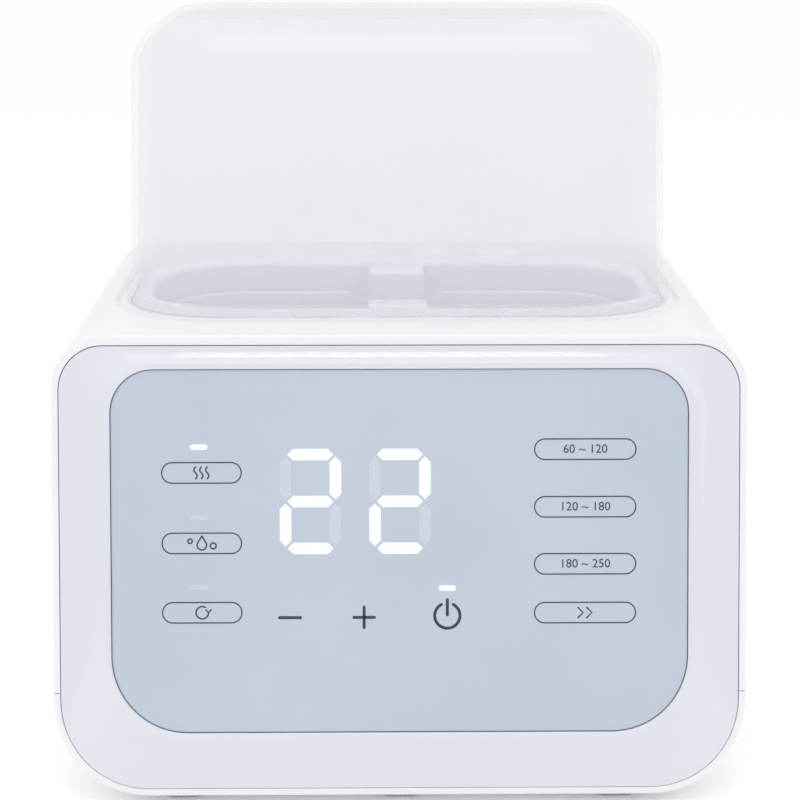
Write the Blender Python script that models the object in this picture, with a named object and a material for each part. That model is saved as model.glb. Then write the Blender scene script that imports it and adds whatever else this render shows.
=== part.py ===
"""Two-bottle steam sterilizer and warmer, built piece by piece.

Metres, +Z up.  The front faces -Y, the feet stand on Z = 0 and the origin is
the centre of the footprint.
"""
import math

import bpy
from mathutils import Matrix, Vector

# ---------------------------------------------------------------- housing
WIDTH = 0.190
DEPTH = 0.184
BODY_HEIGHT = 0.124
LEAN = math.radians(11.5)
WALL = 0.0019
TOP_WALL = 0.00265
TOP_CORNER = 0.014
LOW_CORNER = 0.026
REAR_ROUND = 0.012
REAR_STEPS = 4
ROUND_STEPS = 5
BLOCK_STEPS = 3
MIN_FLAT = 0.0001
MIN_RADIUS = 0.001
ARC_MIDDLE = 1 - math.sqrt(0.5)
SHARP_ANGLE = math.radians(32)
FOOT_HEIGHT = 0.0025
SEAM_HEIGHT = 0.0278
GAP = 0.0003

# ---------------------------------------------------------------- well, rack and lid
SIDE_DECK = 0.0209
FRONT_DECK = 0.0439
REAR_DECK = 0.0437
SEAT_DROP = 0.0013
UNDER_SPACE = 0.0527
WELL_WALL = 0.0018
WELL_CORNER = 0.028
WELL_DRAFT = 0.0025
WELL_EASE = 0.0015
WELL_FILLET = 0.003
HOOK_X = 0.035
HOOK_LENGTH = 0.008
HOOK_HEIGHT = 0.003
HOOK_REACH = 0.0025
FLANGE_SIDE = 0.0048
FLANGE_END = 0.0138
FLANGE_THICK = 0.0015
LEDGE_THICK = 0.005
LEDGE_RIM = 0.004
LID_SIDE = 0.0065
LID_END = 0.0155
LID_HEIGHT = 0.0833
LID_WALL = 0.0020
LID_DRAFT = math.radians(1.9)
LID_ROUND = 0.015
LID_CORNER = 0.030
LID_RIM_HEIGHT = 0.0032
LID_RIM_PROUD = 0.0012
DISH_SIDE = 0.0034
DISH_END = 0.0130
DISH_CLEARANCE = 0.0012
VENT_PITCH = 0.0232
VENT_LENGTH = 0.0115
VENT_HEIGHT = 0.0017
RACK_CLEARANCE = 0.0015
RACK_WALL = 0.0018
RACK_DROP = 0.0088
RACK_FLOOR = 0.0018
POST_WIDTH = 0.0178
POST_DEPTH = 0.0125
POST_DROP = 0.0006
POST_FILLET = 0.005
POST_FLARE = 0.0010
POST_SETBACK = 0.0003
WING_STEPS = 3
LID_STEPS = 4
LID_VENTS = 4
DIVIDER_HEIGHT = 0.022
BAY_HOLE = 0.019

# ---------------------------------------------------------------- front
BEZEL_SIDE = 0.01425
BEZEL_TOP = 0.00615
BEZEL_LOW = 0.01555
BEZEL_PROUD = 0.0030
BEZEL_LIP = 0.0013
BEZEL_SKIRT = 0.0060
BEZEL_THICK = 0.0020
BEZEL_SHELF = 0.0020
SHELF_THICK = 0.0012
COVE_STEPS = 5
PANEL_CORNER_TOP = 0.0115
PANEL_CORNER_LOW = 0.0205
PANEL_RECESS = 0.0007
PANEL_THICK = 0.0020
PANEL_EASE = 0.0003
PAD_HEIGHT = 0.0050
PAD_RADIUS = 0.0040
BOARD_THICK = 0.0016
BOARD_SIDE = 0.0045
BOARD_END = 0.0060
BOARD_BOSS_RADIUS = 0.0028
BOARD_SCREW_SIDE = 0.0010
BOARD_SCREW_FOOT = 0.026
BOARD_SCREW_TOP = 0.018
BOARD_SCREW_LENGTH = 0.0038
DISPLAY_SIZE = (0.046, 0.033)
DISPLAY_X = -0.0121
DISPLAY_BELOW_TOP = 0.0352
LIGHT_SIZE = (0.0046, 0.0017)
BUZZER_RADIUS = 0.006
BUZZER_HEIGHT = 0.006
BUZZER_X = 0.045
BUZZER_ABOVE_LOW = 0.014
# Key and light places: x, and distance below the panel's top edge.
LEFT_KEYS_X = -0.0539
RIGHT_KEYS_X = 0.0511
KEY_PLACES = [(LEFT_KEYS_X, 0.0278), (LEFT_KEYS_X, 0.0466), (LEFT_KEYS_X, 0.0653),
              (RIGHT_KEYS_X, 0.0214), (RIGHT_KEYS_X, 0.0368), (RIGHT_KEYS_X, 0.0521), (RIGHT_KEYS_X, 0.0652),
              (-0.0300, 0.0663), (-0.0098, 0.0663), (0.0129, 0.0655)]
LIGHT_PLACES = [(LEFT_KEYS_X, 0.0206), (LEFT_KEYS_X, 0.0394), (LEFT_KEYS_X, 0.0581), (0.0129, 0.0585)]

# ---------------------------------------------------------------- heater
HEATER_INSET = 0.009
SEAL_THICK = 0.0020
SEAL_OVERLAP = 0.0045
PLATE_THICK = 0.0025
PLATE_OVERLAP = 0.0060
ELEMENT_THICK = 0.0060
BRACKET_THICK = 0.0015
PLATE_EASE = 0.0008
ELEMENT_INSET = 0.007
BRACKET_RIM = 0.0020
BRACKET_LIP = 0.0035
LUG_RADIUS = 0.0040
BOSS_RADIUS = 0.0034
BOSS_OFFSET = 0.0030
BOSS_TUCK = 0.002
BOSS_ABOVE_FLOOR = 0.009
THERMOSTAT_RADIUS = 0.0075
THERMOSTAT_CAP_RADIUS = 0.0045
THERMOSTAT_HEIGHT = 0.0070
SENSOR_RADIUS = 0.0022
SENSOR_HEIGHT = 0.0080
SENSOR_X = 0.024
FUSE_RADIUS = 0.0018
FUSE_LENGTH = 0.014

# ---------------------------------------------------------------- power
POWER_BOARD_SIZE = (0.096, 0.060)
POWER_BOARD_Y = 0.014
STANDOFF_HEIGHT = 0.006
STANDOFF_RADIUS = 0.003
STANDOFF_INSET = 0.006
TRANSFORMER_SIZE = (0.024, 0.020, 0.017)
TRANSFORMER_X = -0.024
RELAY_SIZE = (0.019, 0.015, 0.015)
RELAY_X = 0.006
CASE_ROUND = 0.001
INLET_INSET_X = 0.055
INLET_ABOVE_SEAM = 0.020
INLET_WIDTH = 0.024
INLET_HEIGHT = 0.018
INLET_LENGTH = 0.016
INLET_FLANGE = 0.003
INLET_PROUD = 0.0012
INLET_WALL = 0.002
HARNESS_ABOVE_LOW = 0.030
HARNESS_OUT = 0.008
HARNESS_RUN = 0.022
HARNESS_FALL = 0.012
LEAD_SPACING = 0.010
LEAD_OUT = 0.006
LEAD_RISE = 0.008
LEAD_SPREAD = 0.016
LEAD_INSET = 0.004
HEATER_LEAD_Y = 0.008
WIRE_RADIUS = 0.0012
WIRE_STEPS = 4

# ---------------------------------------------------------------- fixings
CUT_OVER = 0.004
SCREW_SINK = 0.0006
VENT_SLOTS = 9
VENT_SLOT_PITCH = 0.008
VENT_SLOT_WIDTH = 0.003
VENT_SLOT_LENGTH = 0.026
VENT_SLOT_Y = -0.044
LABEL_SIZE = (0.060, 0.030)
LABEL_THICK = 0.0004
LABEL_ROUND = 0.002
LABEL_POCKET = 0.0008
LABEL_Y = 0.024
COLUMN_INSET_X = 0.029
COLUMN_BEHIND_EDGE = 0.0138
COLUMN_INSET_REAR = 0.0145
COLUMN_RADIUS = 0.0040
BASE_BOSS_RADIUS = 0.0055
BASE_BOSS_HEIGHT = 0.0035
SCREW_RADIUS = 0.0014
SCREW_HEAD_RADIUS = 0.0028
SCREW_CROWN_RADIUS = 0.0020
SCREW_HEAD_HEIGHT = 0.0018
SCREW_BAND_HEIGHT = 0.0011
SCREW_LENGTH = 0.0120
FOOT_WIDTH = 0.0094
FOOT_DEPTH = 0.0080
FOOT_POCKET = 0.0008
FOOT_INSET_X = 0.0352
FOOT_ROUND = 0.0015
FOOT_SETBACK = 0.0085
FOOT_REAR_SETBACK = 0.0290

# ---------------------------------------------------------------- worked out
SHELL_LOW = FOOT_HEIGHT
SHELL_TOP = FOOT_HEIGHT + BODY_HEIGHT
SEAM_Z = SHELL_LOW + SEAM_HEIGHT
FRONT_Y = -DEPTH / 2
REAR_Y = DEPTH / 2
TOP_FRONT_Y = FRONT_Y + BODY_HEIGHT * math.tan(LEAN)
SEAT_Z = SHELL_TOP - SEAT_DROP
WELL_LENGTH = WIDTH - 2 * SIDE_DECK
WELL_WIDTH = REAR_Y - REAR_DECK - TOP_FRONT_Y - FRONT_DECK
WELL_Y = (REAR_Y - REAR_DECK + TOP_FRONT_Y + FRONT_DECK) / 2
WELL_FLOOR_Z = SHELL_LOW + UNDER_SPACE
LID_LENGTH = WELL_LENGTH + 2 * LID_SIDE
LID_WIDTH = WELL_WIDTH + 2 * LID_END
WELL_AXIS = (0, WELL_Y, SEAT_Z)
UP = Vector((0, 0, 1))
SLOPE = Vector((0, math.sin(LEAN), math.cos(LEAN)))
OUTWARD = Vector((0, -math.cos(LEAN), math.sin(LEAN)))

for old in list(bpy.data.objects):
    bpy.data.objects.remove(old, do_unlink=True)


# ---------------------------------------------------------------- materials
def material(name, colour, roughness, metallic=0.0, alpha=1.0):
    mat = bpy.data.materials.new(name)
    mat.use_nodes = True
    shader = mat.node_tree.nodes["Principled BSDF"]
    shader.inputs["Base Color"].default_value = (*colour, 1.0)
    shader.inputs["Roughness"].default_value = roughness
    shader.inputs["Metallic"].default_value = metallic
    shader.inputs["Alpha"].default_value = alpha
    mat.diffuse_color = (*colour, alpha)
    return mat


WHITE_SHELL = material("white_abs", (0.90, 0.90, 0.91), 0.22)
BEZEL_WHITE = material("pearl_bezel", (0.82, 0.83, 0.87), 0.18)
PANEL_TINT = material("tinted_panel", (0.53, 0.58, 0.66), 0.12)
MILKY_LID = material("milky_lid", (0.88, 0.89, 0.91), 0.15, alpha=0.55)
WELL_GREY = material("well_pp", (0.78, 0.80, 0.84), 0.35)
RACK_WHITE = material("rack_pp", (0.84, 0.85, 0.88), 0.35)
SILICONE = material("grey_silicone", (0.55, 0.56, 0.58), 0.55)
RUBBER = material("grey_rubber", (0.50, 0.51, 0.54), 0.70)
ALUMINIUM = material("cast_aluminium", (0.75, 0.76, 0.77), 0.35, 1.0)
STEEL = material("zinc_steel", (0.62, 0.62, 0.61), 0.30, 1.0)
BOARD_GREEN = material("board_green", (0.05, 0.22, 0.10), 0.45)
BLACK_PLASTIC = material("black_plastic", (0.03, 0.03, 0.035), 0.40)
LED_WHITE = material("led_diffuser", (0.93, 0.95, 0.98), 0.30)
WIRE_RED = material("red_wire", (0.55, 0.04, 0.03), 0.45)
WIRE_BLUE = material("blue_wire", (0.04, 0.12, 0.50), 0.45)
WIRE_WHITE = material("white_wire", (0.85, 0.85, 0.82), 0.45)
LABEL_SILVER = material("blank_label", (0.72, 0.73, 0.75), 0.40)


# ---------------------------------------------------------------- builders
def rounded_rect(width, height, low_radius, high_radius=None, steps=ROUND_STEPS):
    """Points (u, v) of a rounded rectangle about (0, 0), anticlockwise."""
    if high_radius is None:
        high_radius = low_radius
    limit = min(width, height) / 2 - MIN_FLAT
    points = []
    for side_u, side_v, start in ((1, -1, -90), (1, 1, 0), (-1, 1, 90), (-1, -1, 180)):
        radius = min(high_radius if side_v > 0 else low_radius, limit)
        for step in range(steps + 1):
            angle = math.radians(start + 90 * step / steps)
            u = side_u * (width / 2 - radius) + radius * math.cos(angle)
            v = side_v * (height / 2 - radius) + radius * math.sin(angle)
            points.append((u, v))
    return points


def plan_ring(length, width, radius, z):
    """A level rounded rectangle round the middle of the well."""
    return [Vector((u, WELL_Y + v, z)) for u, v in rounded_rect(length, width, max(radius, MIN_RADIUS))]


def section_ring(inset, y_of_z, high=SHELL_TOP):
    """A cross-section of the body, looking along Y, drawn in by inset."""
    outline = rounded_rect(WIDTH - 2 * inset, high - SHELL_LOW - 2 * inset,
                           max(LOW_CORNER - inset, MIN_RADIUS), max(TOP_CORNER - inset, MIN_RADIUS))
    middle = (SHELL_LOW + high) / 2
    return [Vector((u, y_of_z(middle + v), middle + v)) for u, v in outline]


def slope_y(z):
    return FRONT_Y + (z - SHELL_LOW) * math.tan(LEAN)


def face_point(x, height, out, back=0.0):
    """A point by the leaning front: height above the shell's foot, and out of the face."""
    level = SHELL_LOW + height
    return Vector((x, slope_y(level) + back, level)) + OUTWARD * out


def face_ring(grow, out, back=0.0):
    """The bezel's outer outline drawn in by grow[0..3] at side, top, foot and corners."""
    side, top, foot, corner_top, corner_low = grow
    low = WALL + GAP + foot
    high = BODY_HEIGHT - TOP_WALL - GAP - top
    width = WIDTH - 2 * (WALL + GAP + side)
    outline = rounded_rect(width, high - low, corner_low, corner_top)
    return [face_point(u, (low + high) / 2 + v, out, back) for u, v in outline]


def make_object(name, vertices, faces, mat, origin=(0, 0, 0)):
    mesh = bpy.data.meshes.new(name)
    base = Vector(origin)
    mesh.from_pydata([vertex - base for vertex in vertices], [], faces)
    mesh.materials.append(mat)
    obj = bpy.data.objects.new(name, mesh)
    obj.location = base
    bpy.context.scene.collection.objects.link(obj)
    mesh.shade_smooth()
    mesh.set_sharp_from_angle(angle=SHARP_ANGLE)
    return obj


def loft(name, rings, mat, closed=False, turn_at=None, origin=(0, 0, 0)):
    """Skin rings of equal point count, capped at both ends.

    closed joins the last ring to the first with no caps.  turn_at makes a cup:
    rings before it are the outside, the rest the inside, joined at the mouth.
    """
    count = len(rings[0])
    vertices = [point for ring in rings for point in ring]
    joins = [(i, i + 1) for i in range(len(rings) - 1) if i + 1 != turn_at]
    if closed or turn_at:
        joins.append((len(rings) - 1, 0))
    faces = []
    for near, far in joins:
        for k in range(count):
            after = (k + 1) % count
            faces.append((near * count + k, near * count + after, far * count + after, far * count + k))
    if not closed:
        first = turn_at or 0
        last = (turn_at or len(rings)) - 1
        faces.append(tuple(first * count + k for k in reversed(range(count))))
        faces.append(tuple(last * count + k for k in range(count)))
    volume = 0.0
    for face in faces:
        for k in range(1, len(face) - 1):
            volume += vertices[face[0]].dot(vertices[face[k]].cross(vertices[face[k + 1]]))
    if volume < 0:
        faces = [tuple(reversed(face)) for face in faces]
    return make_object(name, vertices, faces, mat, origin)


def turned(name, profile, mat, at, axis=UP, steps=12):
    """A solid turned about an axis through at; profile is (radius, height) from end to end."""
    turn = UP.rotation_difference(Vector(axis)).to_matrix()
    rings = []
    for radius, height in profile:
        angles = [2 * math.pi * step / steps for step in range(steps)]
        rings.append([Vector(at) + turn @ Vector((radius * math.cos(a), radius * math.sin(a), height))
                      for a in angles])
    return loft(name, rings, mat)


def block(name, size, at, mat, radius=0.0, turn=None):
    """A box about at, with rounded upright edges when a radius is given."""
    width, depth, height = size
    if radius:
        outline = rounded_rect(width, depth, radius, steps=BLOCK_STEPS)
    else:
        outline = [(u * width / 2, v * depth / 2) for u, v in ((-1, -1), (1, -1), (1, 1), (-1, 1))]
    turn = turn or Matrix.Identity(3)
    rings = [[Vector(at) + turn @ Vector((u, v, z)) for u, v in outline] for z in (-height / 2, height / 2)]
    return loft(name, rings, mat)


FACE_TURN = Matrix((Vector((1, 0, 0)), SLOPE, OUTWARD)).transposed()


def face_block(name, size, x, height, out, mat, radius=0.0):
    """A block lying on the leaning front: size is across, up the slope, and thick."""
    return block(name, size, face_point(x, height, out), mat, radius, FACE_TURN)


def combine(target, operation, *tools):
    for piece in tools:
        piece.hide_render = True
        piece.display_type = "WIRE"
        modifier = target.modifiers.new(operation.lower(), "BOOLEAN")
        modifier.operation = operation
        modifier.solver = "EXACT"
        modifier.object = piece


def wire(name, points, mat):
    """A round lead along a smooth curve through the given points."""
    smooth = []
    padded = [points[0], *points, points[-1]]
    for index in range(1, len(padded) - 2):
        p0, p1, p2, p3 = (Vector(p) for p in padded[index - 1:index + 3])
        for step in range(WIRE_STEPS):
            t = step / WIRE_STEPS
            smooth.append(0.5 * (2 * p1 + (p2 - p0) * t + (2 * p0 - 5 * p1 + 4 * p2 - p3) * t ** 2
                                 + (3 * p1 - p0 - 3 * p2 + p3) * t ** 3))
    smooth.append(Vector(points[-1]))
    curve = bpy.data.curves.new(name, "CURVE")
    curve.dimensions = "3D"
    curve.bevel_depth = WIRE_RADIUS
    curve.bevel_resolution = 2
    curve.use_fill_caps = True
    spline = curve.splines.new("POLY")
    spline.points.add(len(smooth) - 1)
    for target, point in zip(spline.points, smooth):
        target.co = (*point, 1.0)
    curve.materials.append(mat)
    obj = bpy.data.objects.new(name, curve)
    bpy.context.scene.collection.objects.link(obj)
    return obj


def screw(name, at, length=SCREW_LENGTH - 2 * GAP, axis=UP):
    """A pan-head screw pointing along axis, its head's bearing face at the given point."""
    profile = [(SCREW_CROWN_RADIUS, -SCREW_HEAD_HEIGHT), (SCREW_HEAD_RADIUS, -SCREW_BAND_HEIGHT),
               (SCREW_HEAD_RADIUS, 0.0), (SCREW_RADIUS, 0.0), (SCREW_RADIUS, length)]
    turned(name, profile, STEEL, at, axis, steps=10)


def arc_steps(count):
    """Angles of a quarter turn, ends included."""
    return [math.pi / 2 * step / count for step in range(count + 1)]


# ---------------------------------------------------------------- housing shells
CEILING_Z = SHELL_TOP - TOP_WALL
FLOOR_TOP_Z = SHELL_LOW + WALL
COLUMN_FOOT_Z = FLOOR_TOP_Z + BASE_BOSS_HEIGHT + GAP
COLUMN_PLACES = [(side * (WIDTH / 2 - COLUMN_INSET_X), y) for side in (-1, 1)
                 for y in (TOP_FRONT_Y + COLUMN_BEHIND_EDGE, REAR_Y - COLUMN_INSET_REAR)]
INLET_PLACE = (WIDTH / 2 - INLET_INSET_X, SEAM_Z + INLET_ABOVE_SEAM)


def body_shell(name):
    """The whole outer shell, open at the leaning front and rounded at the rear."""
    cavity_top = CEILING_Z + WALL
    outside = [section_ring(0.0, slope_y)]
    inside = [section_ring(WALL, slope_y, cavity_top)]
    for angle in arc_steps(REAR_STEPS):
        run = REAR_ROUND * (1 - math.sin(angle))
        outside.append(section_ring(REAR_ROUND * (1 - math.cos(angle)), lambda z, y=REAR_Y - run: y))
        radius = REAR_ROUND - WALL
        inner_y = REAR_Y - WALL - radius * (1 - math.sin(angle))
        inside.append(section_ring(WALL + radius * (1 - math.cos(angle)), lambda z, y=inner_y: y, cavity_top))
    return loft(name, outside + inside[::-1], WHITE_SHELL, turn_at=len(outside))


def upright_tool(name, radius, low, high, place):
    return turned(name, [(radius, low), (radius, high)], WHITE_SHELL, (*place, 0))


def upper_housing():
    housing = body_shell("upper_housing")
    over = SHELL_TOP + CUT_OVER
    hole = (WELL_LENGTH + 2 * (WELL_WALL + GAP), WELL_WIDTH + 2 * (WELL_WALL + GAP), WELL_CORNER + WELL_WALL)
    ledge_low = SEAT_Z - LEDGE_THICK
    seam_high = SEAM_Z + GAP
    below = block("below_seam_tool", (2 * WIDTH, 2 * DEPTH, seam_high), (0, 0, seam_high / 2), WHITE_SHELL)
    ledge = loft("ledge_tool", [
        plan_ring(hole[0] + 2 * (LEDGE_RIM + FLANGE_SIDE), hole[1] + 2 * (LEDGE_RIM + FLANGE_END), hole[2], z)
        for z in (ledge_low, CEILING_Z + TOP_WALL / 4)], WHITE_SHELL)
    combine(housing, "DIFFERENCE", below)
    combine(housing, "UNION", ledge)
    for index, place in enumerate(COLUMN_PLACES):
        combine(housing, "UNION", upright_tool("column_tool_%d" % index, COLUMN_RADIUS, COLUMN_FOOT_Z,
                                               CEILING_Z + TOP_WALL / 4, place))
    lid_corner = LID_CORNER + DISH_CLEARANCE
    dish_size = (LID_LENGTH + 2 * DISH_SIDE, LID_WIDTH + 2 * DISH_END, LID_CORNER + DISH_SIDE)
    dish = loft("dish_tool", [
        plan_ring(LID_LENGTH + 2 * DISH_CLEARANCE, LID_WIDTH + 2 * DISH_CLEARANCE, lid_corner, SEAT_Z),
        plan_ring(*dish_size, SHELL_TOP), plan_ring(*dish_size, over)], WHITE_SHELL)
    rebate = loft("rebate_tool", [
        plan_ring(WELL_LENGTH + 2 * (FLANGE_SIDE + GAP), WELL_WIDTH + 2 * (FLANGE_END + GAP),
                  WELL_CORNER + GAP, z)
        for z in (SEAT_Z - FLANGE_THICK - GAP, over)], WHITE_SHELL)
    through = loft("hole_tool", [plan_ring(*hole, z) for z in (ledge_low - CUT_OVER, over)], WHITE_SHELL)
    inlet = block("inlet_hole_tool", (INLET_WIDTH + 2 * GAP, 4 * WALL, INLET_HEIGHT + 2 * GAP),
                  (INLET_PLACE[0], REAR_Y, INLET_PLACE[1]), WHITE_SHELL)
    combine(housing, "DIFFERENCE", dish, rebate, through, inlet)
    for index, place in enumerate(COLUMN_PLACES):
        pilot = upright_tool("pilot_tool_%d" % index, SCREW_RADIUS + GAP, COLUMN_FOOT_Z - CUT_OVER,
                             COLUMN_FOOT_Z + SCREW_LENGTH, place)
        combine(housing, "DIFFERENCE", pilot)


FOOT_PLACES = [(x, y) for y in (FRONT_Y + FOOT_SETBACK, REAR_Y - FOOT_REAR_SETBACK)
               for x in (FOOT_INSET_X - WIDTH / 2, 0.0, WIDTH / 2 - FOOT_INSET_X)]
STANDOFF_PLACES = [(side * (POWER_BOARD_SIZE[0] / 2 - STANDOFF_INSET),
                    POWER_BOARD_Y + end * (POWER_BOARD_SIZE[1] / 2 - STANDOFF_INSET))
                   for side in (-1, 1) for end in (-1, 1)]
POWER_BOARD_Z = FLOOR_TOP_Z + STANDOFF_HEIGHT + GAP


def bottom_base():
    base = body_shell("bottom_base")
    high = 2 * SHELL_TOP
    above = block("above_seam_tool", (2 * WIDTH, 2 * DEPTH, high - SEAM_Z), (0, 0, (high + SEAM_Z) / 2),
                  WHITE_SHELL)
    combine(base, "DIFFERENCE", above)
    sunk = FLOOR_TOP_Z - WALL / 2
    for index, place in enumerate(COLUMN_PLACES):
        combine(base, "UNION", upright_tool("base_boss_tool_%d" % index, BASE_BOSS_RADIUS, sunk,
                                            FLOOR_TOP_Z + BASE_BOSS_HEIGHT, place))
    for index, place in enumerate(STANDOFF_PLACES):
        combine(base, "UNION", upright_tool("standoff_tool_%d" % index, STANDOFF_RADIUS, sunk,
                                            FLOOR_TOP_Z + STANDOFF_HEIGHT, place))
    step_z = SHELL_LOW + SCREW_HEAD_HEIGHT + SCREW_SINK + GAP
    head_bore = SCREW_HEAD_RADIUS + 2 * GAP
    shank_bore = SCREW_RADIUS + GAP
    for index, place in enumerate(COLUMN_PLACES):
        counterbore = turned("counterbore_tool_%d" % index, [
            (head_bore, -CUT_OVER), (head_bore, step_z), (shank_bore, step_z),
            (shank_bore, COLUMN_FOOT_Z + CUT_OVER)], WHITE_SHELL, (*place, 0))
        combine(base, "DIFFERENCE", counterbore)
    for index, place in enumerate(FOOT_PLACES):
        pocket = block("foot_pocket_tool_%d" % index,
                       (FOOT_WIDTH + 2 * GAP, FOOT_DEPTH + 2 * GAP, 2 * (FOOT_POCKET + GAP)),
                       (*place, SHELL_LOW), WHITE_SHELL)
        combine(base, "DIFFERENCE", pocket)
    for index in range(VENT_SLOTS):
        x = (index - (VENT_SLOTS - 1) / 2) * VENT_SLOT_PITCH
        slot = block("vent_slot_tool_%d" % index, (VENT_SLOT_WIDTH, VENT_SLOT_LENGTH, 4 * WALL),
                     (x, VENT_SLOT_Y, SHELL_LOW), WHITE_SHELL)
        combine(base, "DIFFERENCE", slot)
    pocket_size = (LABEL_SIZE[0] + 2 * GAP, LABEL_SIZE[1] + 2 * GAP, 2 * LABEL_POCKET)
    label_pocket = block("label_pocket_tool", pocket_size, (0, LABEL_Y, SHELL_LOW), WHITE_SHELL)
    combine(base, "DIFFERENCE", label_pocket)


# ---------------------------------------------------------------- front
def mix(a, b, t):
    return tuple(p + (q - p) * t for p, q in zip(a, b))


BEZEL_EDGE = (0.0, 0.0, 0.0, TOP_CORNER - WALL - GAP, LOW_CORNER - WALL - GAP)
PANEL_EDGE = (BEZEL_SIDE, BEZEL_TOP, BEZEL_LOW, PANEL_CORNER_TOP, PANEL_CORNER_LOW)


def grown(edge, distance):
    """The same outline moved outwards by distance all round."""
    side, top, foot, corner_top, corner_low = edge
    return (side - distance, top - distance, foot - distance, corner_top + distance, corner_low + distance)


PANEL_LOW = WALL + GAP + BEZEL_LOW
PANEL_HIGH = BODY_HEIGHT - TOP_WALL - GAP - BEZEL_TOP
PANEL_HALF = WIDTH / 2 - WALL - GAP - BEZEL_SIDE
PANEL_OUT = BEZEL_PROUD - PANEL_RECESS
PANEL_BACK = PANEL_OUT - PANEL_THICK
BOARD_OUT = PANEL_BACK - GAP - PAD_HEIGHT - GAP
BOARD_HALF = PANEL_HALF + BOARD_SIDE
BOARD_SCREW_PLACES = [(side * (PANEL_HALF + BOARD_SCREW_SIDE), height) for side in (-1, 1)
                      for height in (PANEL_LOW + BOARD_SCREW_FOOT, PANEL_HIGH - BOARD_SCREW_TOP)]


def front_bezel():
    """A ring whose cove starts flush with the shell and rises to a lip round the panel."""
    lip = grown(PANEL_EDGE, GAP + BEZEL_LIP)
    mouth = grown(PANEL_EDGE, GAP)
    shelf = grown(PANEL_EDGE, -BEZEL_SHELF)
    skin = grown(BEZEL_EDGE, -BEZEL_THICK)
    seat = PANEL_BACK - GAP
    rings = [face_ring(BEZEL_EDGE, 0.0)]
    for step in range(1, COVE_STEPS + 1):
        t = step / COVE_STEPS
        rings.append(face_ring(mix(BEZEL_EDGE, lip, t), BEZEL_PROUD * t * t))
    rings += [face_ring(mouth, BEZEL_PROUD), face_ring(mouth, seat), face_ring(shelf, seat),
              face_ring(shelf, seat - SHELF_THICK), face_ring(skin, -BEZEL_THICK),
              face_ring(skin, 0.0, BEZEL_SKIRT), face_ring(BEZEL_EDGE, 0.0, BEZEL_SKIRT)]
    bezel = loft("front_bezel", rings, BEZEL_WHITE, closed=True)
    reach = BOARD_OUT + GAP
    for index, (x, height) in enumerate(BOARD_SCREW_PLACES):
        profile = [(BOARD_BOSS_RADIUS, reach), (BOARD_BOSS_RADIUS, seat - SHELF_THICK / 2)]
        boss = turned("board_boss_tool_%d" % index, profile, BEZEL_WHITE, face_point(x, height, 0.0), OUTWARD)
        combine(bezel, "UNION", boss)
    for index, (x, height) in enumerate(BOARD_SCREW_PLACES):
        at = face_point(x, height, 0.0)
        combine(bezel, "DIFFERENCE", turned("board_pilot_tool_%d" % index, [
            (SCREW_RADIUS + GAP, reach - CUT_OVER), (SCREW_RADIUS + GAP, BOARD_OUT + BOARD_SCREW_LENGTH)],
            BEZEL_WHITE, at, OUTWARD))


def touch_panel():
    loft("touch_panel", [face_ring(PANEL_EDGE, PANEL_BACK), face_ring(PANEL_EDGE, PANEL_OUT - PANEL_EASE),
                         face_ring(grown(PANEL_EDGE, -PANEL_EASE), PANEL_OUT)], PANEL_TINT)


def control_electronics():
    middle = (PANEL_LOW + PANEL_HIGH) / 2
    up_slope = (PANEL_HIGH - PANEL_LOW) / math.cos(LEAN) - 2 * BOARD_END
    board = face_block("control_board", (2 * BOARD_HALF, up_slope, BOARD_THICK), 0.0, middle,
                       BOARD_OUT - BOARD_THICK / 2, BOARD_GREEN)
    for index, (x, height) in enumerate(BOARD_SCREW_PLACES):
        at = face_point(x, height, 0.0)
        back = BOARD_OUT - BOARD_THICK
        combine(board, "DIFFERENCE", turned("board_hole_tool_%d" % index, [
            (SCREW_RADIUS + GAP, back - CUT_OVER), (SCREW_RADIUS + GAP, BOARD_OUT + CUT_OVER)],
            BOARD_GREEN, at, OUTWARD))
        screw("board_screw_%d" % (index + 1), face_point(x, height, back - GAP),
              BOARD_THICK + BOARD_SCREW_LENGTH - GAP, OUTWARD)
    face_block("digit_display", (DISPLAY_SIZE[0], DISPLAY_SIZE[1], PAD_HEIGHT), DISPLAY_X,
               PANEL_HIGH - DISPLAY_BELOW_TOP, PANEL_BACK - GAP - PAD_HEIGHT / 2, BLACK_PLASTIC)
    for index, (x, below) in enumerate(KEY_PLACES):
        at = face_point(x, PANEL_HIGH - below, 0.0)
        turned("touch_pad_%d" % (index + 1), [(PAD_RADIUS, BOARD_OUT + GAP), (PAD_RADIUS, PANEL_BACK - GAP)],
               SILICONE, at, OUTWARD, steps=10)
    for index, (x, below) in enumerate(LIGHT_PLACES):
        face_block("indicator_light_%d" % (index + 1), (*LIGHT_SIZE, PAD_HEIGHT), x, PANEL_HIGH - below,
                   PANEL_BACK - GAP - PAD_HEIGHT / 2, LED_WHITE)
    turned("buzzer", [(BUZZER_RADIUS, 0.0), (BUZZER_RADIUS, BUZZER_HEIGHT)], BLACK_PLASTIC,
           face_point(BUZZER_X, PANEL_LOW + BUZZER_ABOVE_LOW, BOARD_OUT - BOARD_THICK - GAP), -OUTWARD)


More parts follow.
